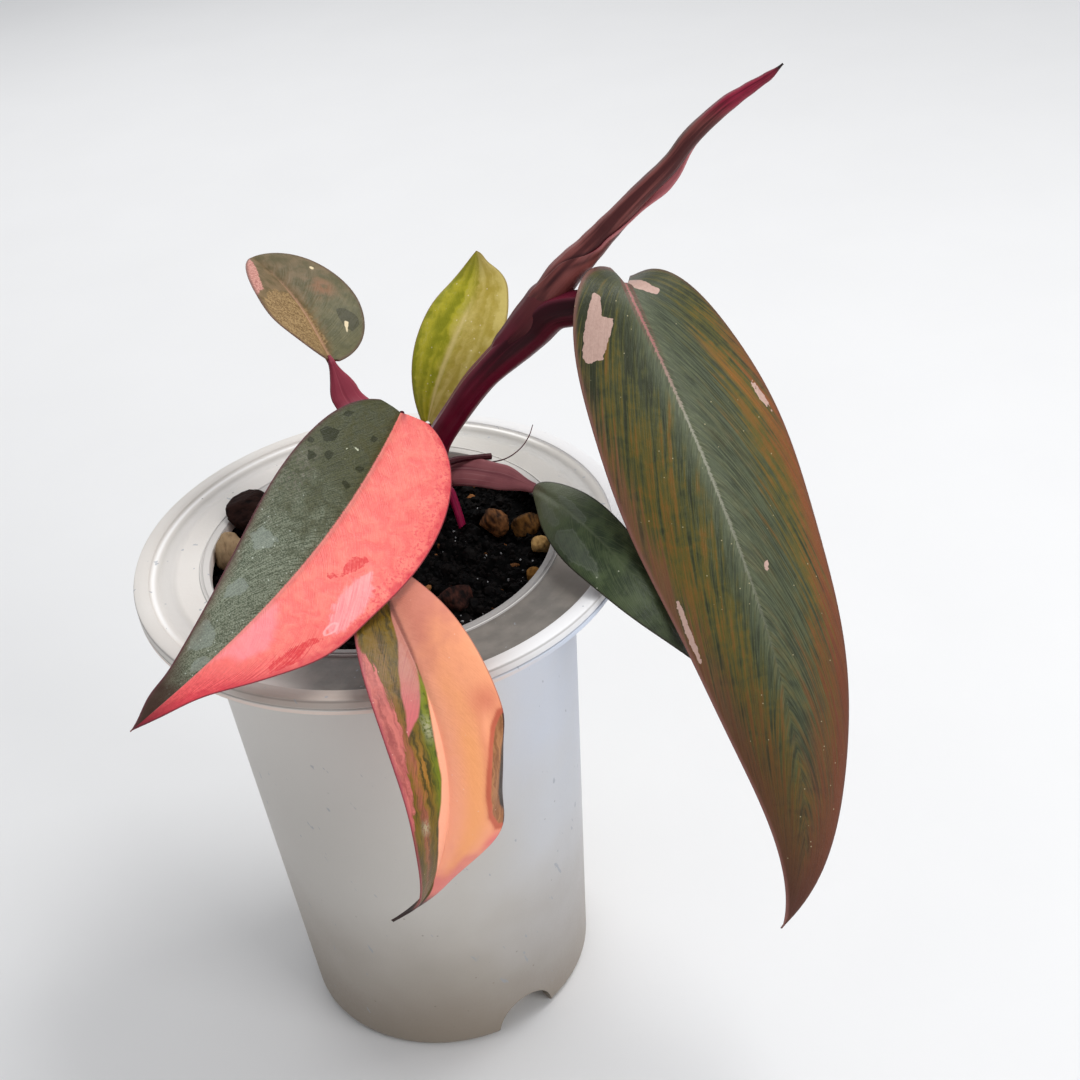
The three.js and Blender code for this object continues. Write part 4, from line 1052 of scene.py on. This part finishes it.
finishes = dict(
    stalk=stalkSkin("maroonStalkSkin", tone(50, 0, 14), tone(96, 6, 34), tone(112, 44, 60), 70, lit=0.45),
    rosy=stalkSkin("rosyStalkSkin", tone(98, 26, 42), tone(148, 60, 76), tone(184, 110, 118), 18, 0.4),
    dusky_stalk=stalkSkin(
        "duskyStalkSkin", tone(92, 38, 50), tone(146, 86, 90), tone(180, 134, 134), 20, 0.4),
    stem=stalkSkin("stemSkin", tone(48, 10, 20), tone(92, 26, 40), tone(124, 56, 58), 40),
    twig=stalkSkin("twigSkin", tone(34, 8, 14), tone(74, 22, 32), tone(110, 56, 58), 14),
    root=stalkSkin("rootSkin", tone(150, 20, 70), tone(204, 36, 96), tone(232, 80, 128), 14),
)

for stalkName, stalk in stalks.items():
    makeStalk(stalkName + "Piece", stalk, finishes[stalk.get("finish", stalk["slot"])])
print("stalks ready")


# New leaf, still rolled: its free edge winds round the roll and stands open in the middle


newLeaf = dict(
    route=[(37.6, 1.4, 168.2), (43.5, 1.8, 174), (50, 2.5, 179.2), (56.4, 2.9, 184.6), (63, 3.3, 189.7),
           (67.3, 3.5, 193.3), (71.1, 3.5, 197.4), (77.6, 3.5, 202.6), (82.5, 3.3, 205.3),
           (87.3, 2.8, 208), (89.4, 2.5, 209.7)],
    diameter=(5.2, 6.6, 7, 6.4, 5.5, 4.9, 4.4, 4.3, 4.1, 3.9, 3.6, 3.6, 3.4, 3.2, 2.5, 1.8, 0.4),
    facing=(-0.68, 0.2, 0.7), edgeAngles=(75, 45, -20, -72, -95, -112, -150, -190),
    overlap=0.2, sheet=0.45, flare=1.2, flareAt=0.53, flareReach=0.075, liftFrom=0.78, liftReach=0.22,
    waviness=0.04, foldBack=(0.995, 0.93, 0.86), rows=240, sides=90,
)


def makeNewLeaf(material):
    leaf = newLeaf
    points, tangents = smoothRoute(leaf["route"], leaf["rows"])
    across, face = axesAlong(tangents, leaf["facing"])
    t = np.linspace(0, 1, leaf["rows"])[:, None]
    lap = np.linspace(0, 1, leaf["sides"])[None, :]
    edge = np.radians(reading(leaf["edgeAngles"], t))
    base = reading(leaf["diameter"], t) / 2
    waves = 1 + leaf["waviness"] * np.sin(31 * t + 2.5) * np.sin(2 * np.pi * lap + 1)
    opening = leaf["flare"] * np.exp(-((t - leaf["flareAt"]) / leaf["flareReach"]) ** 2)
    lift = opening * np.clip((lap - leaf["liftFrom"]) / leaf["liftReach"], 0, 1) ** 1.6
    outer = base * (1 + leaf["overlap"] * (lap - 0.5)) * waves + lift
    low, high = outer[:, :1], outer[:, -1:]
    thickness = np.minimum(leaf["sheet"], 0.25 * base)
    inner = np.concatenate([high - thickness, 0.5 * (high + low) - thickness, low], 1)
    innerLap = np.broadcast_to(np.array([leaf["foldBack"]]), inner.shape)
    radius = np.concatenate([outer, inner], 1)
    angle = edge + 2 * np.pi * np.concatenate([np.broadcast_to(lap, outer.shape), innerLap], 1)
    rings = inSection(points, across, face, radius * np.cos(angle), radius * np.sin(angle))
    section = np.stack([np.cos(angle), np.sin(angle), np.broadcast_to(t, angle.shape)], -1).reshape(-1, 3)
    laps = np.concatenate([np.broadcast_to(lap, outer.shape), np.ones(inner.shape)], 1).ravel()
    inside = np.concatenate([np.zeros(outer.shape), np.ones(inner.shape)], 1).ravel()
    fields = {"section": np.vstack([section, [[0, 0, 0], [0, 0, 1]]]),
              "lap": np.append(laps, [0, 0]), "inside": np.append(inside, [0, 0])}
    allPoints = np.vstack([rings.reshape(-1, 3), points[:1], points[-1:]])
    piece = makePiece("newLeafRoll", allPoints, ringFaces(*radius.shape), fields)
    return seat(piece, material, "rolled_blade", "new_leaf")


def newLeafSkin():
    material, start = newMaterial("newLeafSkin")
    wide, high, t = field(start, "section", "Vector").split()
    lines = grain(joined(start, wide * 3, high * 3, t * 4), 1, 3)
    lap, inside = field(start, "lap"), field(start, "inside")
    broad = grain(joined(start, wide * 1.1, high * 1.1, t * 2.5), 1, 2)
    colour = mixed(rise(broad + (lines - 0.5) * 0.5, 0.38, 0.62), tone(74, 32, 32), tone(124, 66, 62))
    # painted highlight: a paler beige band down one side of the roll, about its middle
    paler = rise(high * 0.6 - wide * 0.4 + (lines - 0.5) * 0.8, 0.2, 0.8) * hump(t, 0.62, 0.14)
    colour = mixed(paler * 0.6, colour, tone(136, 110, 92))
    crimson = rise(t + (broad - 0.5) * 0.15 + high * 0.02, 0.72, 0.84)
    colour = mixed(crimson * 0.9, colour, mixed(rise(lines, 0.4, 0.6), tone(96, 6, 34), tone(140, 20, 54)))
    colour = mixed(rise(inside, 0.1, 0.6), colour, tone(150, 24, 58))
    colour = mixed(rise(lap, 0.955, 0.985) * rise(t, 0.2, 0.34) * 0.7, colour, tone(206, 132, 134))
    colour = mixed(hump(lap, 0.93, 0.04) * 0.5 * rise(t, 0.7, 0.5), colour, tone(44, 10, 18))
    # painted shade: dark in the crease under the free edge
    colour = mixed(hump(lap, 0.0, 0.06) * 0.8 * rise(t, 0.5, 0.4), colour, tone(36, 6, 14))
    colour = mixed(rise(t, 0.965, 0.99), colour, tone(44, 26, 28))
    finishMaterial(start, colour, 0.42 + (lines - 0.5) * 0.2, lines, 0.2, Specular_IOR_Level=0.25)
    return material


makeNewLeaf(newLeafSkin())
print("new leaf ready")


# Pot: one moulded piece with a flat brim, a raised lip, a skirt and arched notches in the foot


pot = dict(
    height=122, rimRadius=52, lipWidth=3.3, lipRise=0.6, skirtDrop=3.7, mouthRadius=36, mouthRing=2.4,
    ringRise=0.35, wallTopRadius=40.5, footRadius=33.6, footRounding=2.4, wall=1.1, segments=160,
    notchCount=3, firstNotch=-65, notchHalfWidth=7.5, notchHeight=9.2, notchInner=26.5, notchSides=64,
)


def wallRadius(z):
    return pot["footRadius"] + (pot["wallTopRadius"] - pot["footRadius"]) * z / pot["height"]


def lathed(name, profile):
    # the profile runs from the axis at the bottom round to the axis at the top
    rings = [circle(r, z, pot["segments"]) for r, z in profile[1:-1]]
    ends = [(0, 0, profile[0][1]), (0, 0, profile[-1][1])]
    return makePiece(name, np.vstack([*rings, ends]), ringFaces(len(rings), pot["segments"]))


def roundedFoot(radius, floor, rounding):
    turns = [math.radians(degrees) for degrees in (0, 15, 30, 45, 60, 75, 90)]
    return [(radius - rounding * (1 - math.sin(a)), floor + rounding * (1 - math.cos(a))) for a in turns]


def notchCutter(angle, extra):
    # an upright oval that runs outwards from the pocket's back wall
    inner, outer, sides = pot["notchInner"] - extra, pot["rimRadius"] + 5, pot["notchSides"]
    around = 2 * np.pi * np.arange(sides) / sides
    across = (pot["notchHalfWidth"] + extra) * np.cos(around)
    up = (pot["notchHeight"] + extra) * np.sin(around)
    rings = [np.stack([np.full(sides, reach), across, up], 1) for reach in (inner, outer)]
    points = np.vstack([*rings, [(inner, 0, 0), (outer, 0, 0)]])
    return makePiece("notchCutter", turned(points, math.radians(angle)), ringFaces(2, sides))


def notchCutters(extra):
    count = pot["notchCount"]
    return [notchCutter(pot["firstNotch"] + 360 * i / count, extra) for i in range(count)]


def makePot(material):
    high, wall, rim = pot["height"], pot["wall"], pot["rimRadius"]
    top, mouth, lipInner = high - pot["lipRise"], pot["mouthRadius"], rim - pot["lipWidth"]
    underBrim, skirtFoot, rounding = top - wall, high - pot["skirtDrop"], pot["footRounding"]
    beadFoot = top - wall - 1
    ringEdge, ringTop = mouth + pot["mouthRing"], top + pot["ringRise"]
    outerWall = [
        (0, 0), *roundedFoot(wallRadius(rounding), 0, rounding),
        *[(wallRadius(z), z) for z in (20, 40, 60, 80, 100, 116)], (wallRadius(underBrim), underBrim)]
    skirt = [
        (rim - wall, underBrim), (rim - wall, skirtFoot + 0.15), (rim - wall + 0.15, skirtFoot),
        (rim - 0.25, skirtFoot), (rim - 0.1, skirtFoot + 0.15), (rim - 0.02, skirtFoot + 1.1),
        (rim - 0.3, skirtFoot + 1.35), (rim - 0.02, skirtFoot + 1.6)]
    lip = [
        (rim, high - 0.5), (rim - 0.15, high - 0.15), (rim - 0.5, high), (lipInner + 0.5, high),
        (lipInner + 0.15, high - 0.12), (lipInner, high - 0.4)]
    brim = [(lipInner - 0.3, top), (lipInner - 0.5, top), (44, top), (ringEdge, top)]
    ring = [
        (ringEdge - 0.1, ringTop - 0.1), (ringEdge - 0.2, ringTop), (ringEdge - 0.4, ringTop),
        (ringEdge - 0.5, ringTop - 0.15), (ringEdge - 0.75, ringTop - 0.15), (ringEdge - 0.9, ringTop),
        (mouth + 0.6, ringTop - 0.1), (mouth + 0.25, ringTop - 0.2)]
    inside = [(mouth, top - 0.4), (mouth, beadFoot), (0, beadFoot)]
    body = lathed("nurseryPot", outerWall + skirt + lip + brim + ring + inside)
    bead = lathed("beadSpace", [
        (0, beadFoot - 0.8), (wallRadius(beadFoot) - wall, beadFoot - 0.8), (mouth, beadFoot - 0.01),
        (mouth - 0.001, high + 5), (0, high + 5)])
    room = lathed("room", [
        (0, wall), *roundedFoot(wallRadius(rounding) - wall, wall, rounding - wall),
        (wallRadius(beadFoot - 0.8) - wall, beadFoot - 0.7), (0, beadFoot - 0.7)])
    carve(room, notchCutters(wall))
    carve(body, [room, bead, *notchCutters(0)])
    body.data.set_sharp_from_angle(angle=math.radians(40))
    return seat(body, material, "frosted_plastic", "pot")


def potSkin():
    # where each tone lies is said in the pot's own millimetres
    material, start = newMaterial("frostedPlastic")
    place = inMillimetres(start)
    x, y, z = place.split()
    radius = (x * x + y * y).math("SQRT")
    cloud, fine = grain(place, 26, 3), grain(place, 0.7, 2)
    # painted shade: the wall darkens and browns towards the foot and pales towards the brim
    wall = mixed(rise(z + (cloud - 0.5) * 24, 0, 60), tone(142, 130, 116), tone(200, 195, 188))
    wall = mixed(rise(z, 60, 118) * 0.75, wall, tone(226, 221, 215))
    # painted light: the right side of the wall is painted paler and bluish
    rightSideLight = rise(x - y * 0.3 + (cloud - 0.5) * 20, 14, 48) * rise(z, -20, 110) * 0.9
    wall = mixed(rightSideLight, wall, tone(204, 214, 232))
    skirt = rise(radius, 50.5, 50.8) * rise(z, 119.4, 119.2) * rise(x, 34, 6)
    wall = mixed(skirt, wall, tone(232, 214, 202))
    inner = rise(radius, 38.6, 38.3) * rise(z, 116.5, 117.2)
    wall = mixed(inner, wall, tone(236, 226, 218))
    onBrim = rise(radius, 38.2, 38.5) * rise(z, 119.6, 120.2)
    lip = rise(radius, 48.4, 48.8)
    swirl = grain(joined(start, radius * 0.5, x * 0.04, y * 0.04), 1, 3)
    # painted shade: the front of the brim is dark where the shaded wall, with the dark potting mix behind
    # it, shows through; there the brim is left opaque
    frontShade = rise(y + (cloud - 0.5) * 12, -8, -22) * rise(x + y * 0.2, -36, -24) * (1 - lip)
    brim = mixed(cloud, tone(222, 215, 207), tone(240, 236, 230))
    blotch = grain(place, 4, 3)
    shaded = rise(x + (cloud - 0.5) * 10, 10, 34) * rise(y, -10, 4) * (1 - lip)
    brim = mixed(shaded * 0.8, brim, tone(184, 180, 174))
    frontShadeTone = mixed(rise(blotch * 0.7 + swirl * 0.3, 0.34, 0.66), tone(69, 62, 53), tone(101, 93, 84))
    frontShadeTone = mixed(rise(x + y * 0.5, 14, 34), frontShadeTone, tone(168, 157, 145))
    brim = mixed(frontShade * 0.9, brim, frontShadeTone)
    # the front of the lip is streaked browner and darker
    frontLipBrown = rise(y + (cloud - 0.5) * 10, -36, -46) * rise(x, 30, 14)
    brim = mixed(lip * frontLipBrown * (0.35 + swirl * 0.5), brim, tone(150, 124, 108))
    # painted highlight: the right side of the lip is painted white
    brim = mixed(lip * rise(x, 0, 30) * 0.8, brim, tone(246, 246, 248))
    # painted light: the inner riser of the lip, at the back, is painted near white
    riserLight = hump(radius, 48.0, 0.8) * rise(y - x * 0.6, -4, 16)
    brim = mixed(riserLight, brim, tone(255, 253, 250))
    colour = mixed(onBrim, wall, brim)
    ring = rise(radius, 38.5, 38.35) * rise(radius, 35.9, 36.0) * rise(z, 121.0, 121.2)
    # painted shade: the mouth ring is darker at the front and right
    ringTone = mixed(rise(x * 0.6 - y, -6, 20), tone(214, 210, 205), tone(162, 158, 155))
    # painted highlights on the ring's two beads, and painted shade in the groove between them
    ringBeadHighlight = hump(radius, 38.2, 0.14) + hump(radius, 36.15, 0.14)
    ringTone = mixed(hump(radius, 37.75, 0.3) * 0.3, ringTone, tone(130, 127, 124))
    colour = mixed(ring, colour, mixed(ringBeadHighlight, ringTone, tone(222, 219, 214)))
    # painted shade: dark lines along the lip's outer edge and in the skirt's groove
    groove = rise(radius, 51.5, 51.7) * hump(z, 121.55, 0.4)
    groove = groove + hump(z, 119.65, 0.3) * rise(radius, 51.5, 51.6)
    colour = mixed(groove * 0.45, colour, tone(112, 102, 94))
    dirtShare = rise(z, 100, 60) * 0.5 + onBrim * rise(x, -20, -40)
    colour = mixed(specks(place, 3.4, 0.3, 0.16) * dirtShare * 0.8, colour, tone(90, 82, 70))
    scratch = grain(joined(start, x * 0.5 + z * 0.2, y * 0.5, z * 0.16), 1, 2)
    colour = mixed(rise(scratch, 0.71, 0.74) * 0.6, colour, tone(150, 156, 166))
    see = rise(radius, 42.5, 44.5) * rise(radius, 48, 46) * 0.4 + lip * 0.08
    alpha = 1 - onBrim * (1 - frontShade) * see
    finishMaterial(start, colour, 0.42 + (fine - 0.5) * 0.2 + cloud * 0.08, fine * 0.4 + cloud, 0.08, alpha)
    return material


makePot(potSkin())
print("pot ready")


# Potting mix: a lumpy dark surface with loose crumbs, bark and pumice on it


soil = dict(
    level=116.4, rings=70, sectors=200, gap=0.3, roughness=1.1,
    bankAt=(-28, 15), bankHeight=2.2, bankSpread=200, dipFrom=32, dipReach=6, dip=1.4,
)


def soilHeight(x, y):
    bankX, bankY = soil["bankAt"]
    lumps = 0.7 * math.sin(0.41 * x + 1.3) * math.cos(0.37 * y - 0.4)
    lumps += 0.45 * math.sin(0.83 * x + 0.61 * y + 2)
    bank = soil["bankHeight"] * math.exp(-((x - bankX) ** 2 + (y - bankY) ** 2) / soil["bankSpread"])
    outer = min(max((math.hypot(x, y) - soil["dipFrom"]) / soil["dipReach"], 0), 1)
    dip = soil["dip"] * outer * outer * (3 - 2 * outer)
    crumbs = noise.fractal(Vector((x * 0.4, y * 0.4, 3)), 0.8, 2.1, 5) * soil["roughness"]
    return soil["level"] + lumps + bank - dip + crumbs


def makeSoil(material):
    floor, inset = pot["wall"] + soil["gap"], pot["wall"] + soil["gap"] + 0.1
    edge, rounding, sectors = wallRadius(soil["level"]) - inset, pot["footRounding"], soil["sectors"]
    points = circle(wallRadius(floor) - inset - rounding, floor, sectors)
    points += circle(wallRadius(rounding + floor) - inset, floor + rounding, sectors)
    for ring in range(soil["rings"], 0, -1):
        for x, y, _ in circle(edge * ring / soil["rings"], 0, sectors):
            points.append((x, y, soilHeight(x, y)))
    points += [(0, 0, floor), (0, 0, soilHeight(0, 0))]
    body = makePiece("pottingMixBody", points, ringFaces(soil["rings"] + 2, sectors))
    carve(body, notchCutters(pot["wall"] + soil["gap"]))
    return seat(body, material, "potting_mix", "potting_mix")


def crumbSkin(name, dark, pale, roughness=0.85, stretch=(1, 1, 1)):
    material, start = newMaterial(name)
    mix = grain(inMillimetres(start).vectorMath("MULTIPLY", stretch), 1.4, 4)
    colour = mixed(rise(mix + field(start, "tint") * 0.3, 0.4, 0.85), dark, pale)
    finishMaterial(start, colour, roughness, mix, 0.5, Specular_IOR_Level=0.08)
    return material


def scatterTree():
    # crumbs on a surface: distribute, place, make uneven, and give each a tint of its own
    tree = bpy.data.node_groups.new("scatterCrumbs", "GeometryNodeTree")
    tree.interface.new_socket("Surface", in_out="INPUT", socket_type="NodeSocketGeometry")
    kinds = dict(Density="Float", Smallest="Float", Largest="Float", Flatness="Float", Unevenness="Float",
                 Reach="Float", Sink="Float", Fineness="Int", Seed="Int", Finish="Material")
    for name, kind in kinds.items():
        tree.interface.new_socket(name, in_out="INPUT", socket_type="NodeSocket" + kind)
    tree.interface.new_socket("Crumbs", in_out="OUTPUT", socket_type="NodeSocketGeometry")
    given = Wire(tree).node("NodeGroupInput", {}, {}, "Surface")
    seed = given.other("Seed")
    spot = given.node("GeometryNodeInputPosition")
    x, y, z = spot.split()
    radius = (x * x + y * y).math("SQRT")
    onTop = radius.math("LESS_THAN", given.other("Reach")) * z.math("GREATER_THAN", 0.1)
    spread = given.node("GeometryNodeDistributePointsOnFaces", {}, {
        "Mesh": given, "Selection": onTop, "Density": given.other("Density"), "Seed": seed}, "Points")
    ball = given.node("GeometryNodeMeshIcoSphere", {}, {
        "Radius": 1.0, "Subdivisions": given.other("Fineness")}, "Mesh")
    turn = given.node("FunctionNodeRandomValue", {"data_type": "FLOAT_VECTOR"}, {
        "Max": (6.28, 6.28, 6.28), "Seed": seed}, "Value")
    girth = given.node("FunctionNodeRandomValue", {"data_type": "FLOAT"}, {
        "Min": given.other("Smallest"), "Max": given.other("Largest"), "Seed": seed + 1}, "Value")
    size = joined(given, girth, girth * 0.8, girth * given.other("Flatness"))
    placed = given.node("GeometryNodeInstanceOnPoints", {}, {
        "Points": spread, "Instance": ball, "Scale": size,
        "Rotation": given.node("FunctionNodeEulerToRotation", {}, {"Euler": turn})}, "Instances")
    shade = given.node("FunctionNodeRandomValue", {"data_type": "FLOAT"}, {"Seed": seed + 2}, "Value")
    tinted = given.node("GeometryNodeStoreNamedAttribute", {"data_type": "FLOAT", "domain": "INSTANCE"}, {
        "Geometry": placed, "Name": "tint", "Value": shade})
    real = given.node("GeometryNodeRealizeInstances", {}, {"Geometry": tinted})
    lumps = given.node("ShaderNodeTexNoise", {}, {"Vector": spot, "Scale": 900.0, "Detail": 2.0}, "Color")
    shift = lumps.vectorMath("SUBTRACT", (0.5, 0.5, 0.5)).scaled(given.other("Unevenness"))
    drop = shift.vectorMath("SUBTRACT", joined(given, 0.0, 0.0, given.other("Sink")))
    uneven = given.node("GeometryNodeSetPosition", {}, {"Geometry": real, "Offset": drop})
    plain = given.node("GeometryNodeSetShadeSmooth", {}, {"Geometry": uneven, "Shade Smooth": False})
    done = given.node("GeometryNodeSetMaterial", {}, {"Geometry": plain, "Material": given.other("Finish")})
    given.node("NodeGroupOutput", {}, {"Crumbs": done})
    return tree


def scatter(name, surface, tree, material, slot, inputs):
    piece = added(name, surface.data.copy())
    modifier = piece.modifiers.new("scatter", "NODES")
    modifier.node_group = tree
    values = {**inputs, "Finish": material}
    for socket in tree.interface.items_tree:
        if socket.name in values:
            modifier[socket.identifier] = values[socket.name]
    settle(piece)
    return seat(piece, None, slot)


chipShape = dict(sides=11, nearest=0.7, farthest=0.94, most=1.1, roughness=0.04)


def makeChip(name, chip, material, slot, node, seed):
    # a broken piece with flat sides: each side has a direction and a distance from the middle
    random = np.random.default_rng(seed)
    sides = [Vector(way).normalized() for way in random.normal(size=(chipShape["sides"], 3))]
    depths = random.uniform(chipShape["nearest"], chipShape["farthest"], chipShape["sides"])
    ball = bmesh.new()
    bmesh.ops.create_icosphere(ball, subdivisions=4, radius=1)
    points = []
    for corner in ball.verts:
        way = corner.co.normalized()
        flat = min(depth / max(way.dot(side), 0.3) for side, depth in zip(sides, depths))
        fine = noise.fractal(way * 6 + Vector((seed, 3, 1)), 0.8, 2.2, 4)
        points.append(way * (min(flat, chipShape["most"]) + chipShape["roughness"] * fine))
    faces = [[corner.index for corner in face.verts] for face in ball.faces]
    ball.free()
    points = turned(np.array(points) * np.array(chip["size"]) / 2, chip["turn"])
    tint = np.full(len(points), 0.2 + 0.15 * seed)
    piece = makePiece(name, points + np.array(chip["at"]), faces, {"tint": tint})
    return seat(piece, material, slot, node)


chips = dict(
    bark_chip_front=dict(at=(12.9, -19.2, 117.2), size=(8, 6, 4.4), turn=0.4, slot="bark", skin="maroon"),
    bark_chip_right=dict(at=(24.5, 5.6, 117.6), size=(6, 9, 5), turn=0.3, slot="bark"),
    bark_chip_edge=dict(at=(31, 2.4, 117.4), size=(5.6, 7.6, 5), turn=-0.5, slot="bark", skin="brown"),
    bark_chip_back=dict(at=(-26.8, 19.4, 121.3), size=(10.4, 10.4, 10.4), turn=0.8, slot="dark_bark"),
    pumice_chip_edge=dict(at=(32.8, -5.8, 117.4), size=(4, 4.2, 3.6), turn=0.2, slot="pumice"),
    pumice_chip_front=dict(
        at=(29.5, -14.7, 116.4), size=(3.8, 3.4, 3), turn=1.1, slot="pumice", skin="amber"),
    pumice_chip_left=dict(at=(-32, 9.6, 119.8), size=(6.4, 9.6, 7.6), turn=-0.35, slot="pumice", skin="tan"),
)

looseSkins = dict(
    mix=crumbSkin("pottingMix", tone(2, 2, 2), tone(10, 8, 8), 0.9),
    crumbs=crumbSkin("darkCrumbs", tone(1, 1, 2), tone(18, 14, 13), 0.7),
    bark=crumbSkin("barkChips", tone(44, 26, 16), tone(146, 96, 56), 0.7, (1.3, 0.4, 1.3)),
    maroon=crumbSkin("maroonBark", tone(16, 8, 8), tone(72, 40, 32), 0.75, (1.3, 0.5, 1.3)),
    brown=crumbSkin("brownBark", tone(30, 18, 8), tone(110, 74, 34), 0.75, (1.3, 0.5, 1.3)),
    amber=crumbSkin("amberPumice", tone(70, 46, 20), tone(150, 106, 52), 0.85, (1.5, 0.6, 1.5)),
    tan=crumbSkin("tanPumice", tone(58, 42, 28), tone(152, 128, 98), 0.85, (1.6, 0.5, 0.5)),
    dark_bark=crumbSkin("darkBark", tone(14, 8, 8), tone(48, 30, 26), 0.8, (0.5, 1.4, 1.4)),
    pumice=crumbSkin("pumice", tone(104, 74, 36), tone(192, 154, 98), 0.85, (1.5, 0.6, 1.5)),
    perlite=crumbSkin("perlite", tone(120, 120, 122), tone(206, 206, 206), 0.8),
)

# each one's skin, its slot, and the inputs of its scatter
scattered = dict(
    darkCrumbs=("crumbs", "potting_mix", dict(
        Density=900000.0, Smallest=0.3 * mm, Largest=1.0 * mm, Flatness=0.7, Unevenness=0.9 * mm,
        Reach=37.2 * mm, Sink=0.1 * mm, Fineness=1, Seed=4)),
    darkLumps=("crumbs", "potting_mix", dict(
        Density=34000.0, Smallest=1.1 * mm, Largest=2.2 * mm, Flatness=0.7, Unevenness=1.6 * mm,
        Reach=35 * mm, Sink=0.4 * mm, Fineness=2, Seed=21)),
    barkBits=("bark", "bark", dict(
        Density=14000.0, Smallest=0.5 * mm, Largest=1.5 * mm, Flatness=0.5, Unevenness=0.9 * mm,
        Reach=35 * mm, Sink=0.1 * mm, Fineness=2, Seed=9)),
    perliteBits=("perlite", "pumice", dict(
        Density=40000.0, Smallest=0.14 * mm, Largest=0.42 * mm, Flatness=0.8, Unevenness=0.5 * mm,
        Reach=35 * mm, Sink=-0.1 * mm, Fineness=1, Seed=15)),
)

soilBody = makeSoil(looseSkins["mix"])
scattering = scatterTree()
for crumbName, (skinName, slot, inputs) in scattered.items():
    scatter(crumbName, soilBody, scattering, looseSkins[skinName], slot, inputs)
for seed, (node, chip) in enumerate(chips.items()):
    words = node.split("_")
    chipName = words[0] + "".join(word.title() for word in words[1:]) + "Rough"
    chipSkin = looseSkins[chip.get("skin", chip["slot"])]
    makeChip(chipName, chip, chipSkin, chip["slot"], node, seed)
print("potting mix ready")
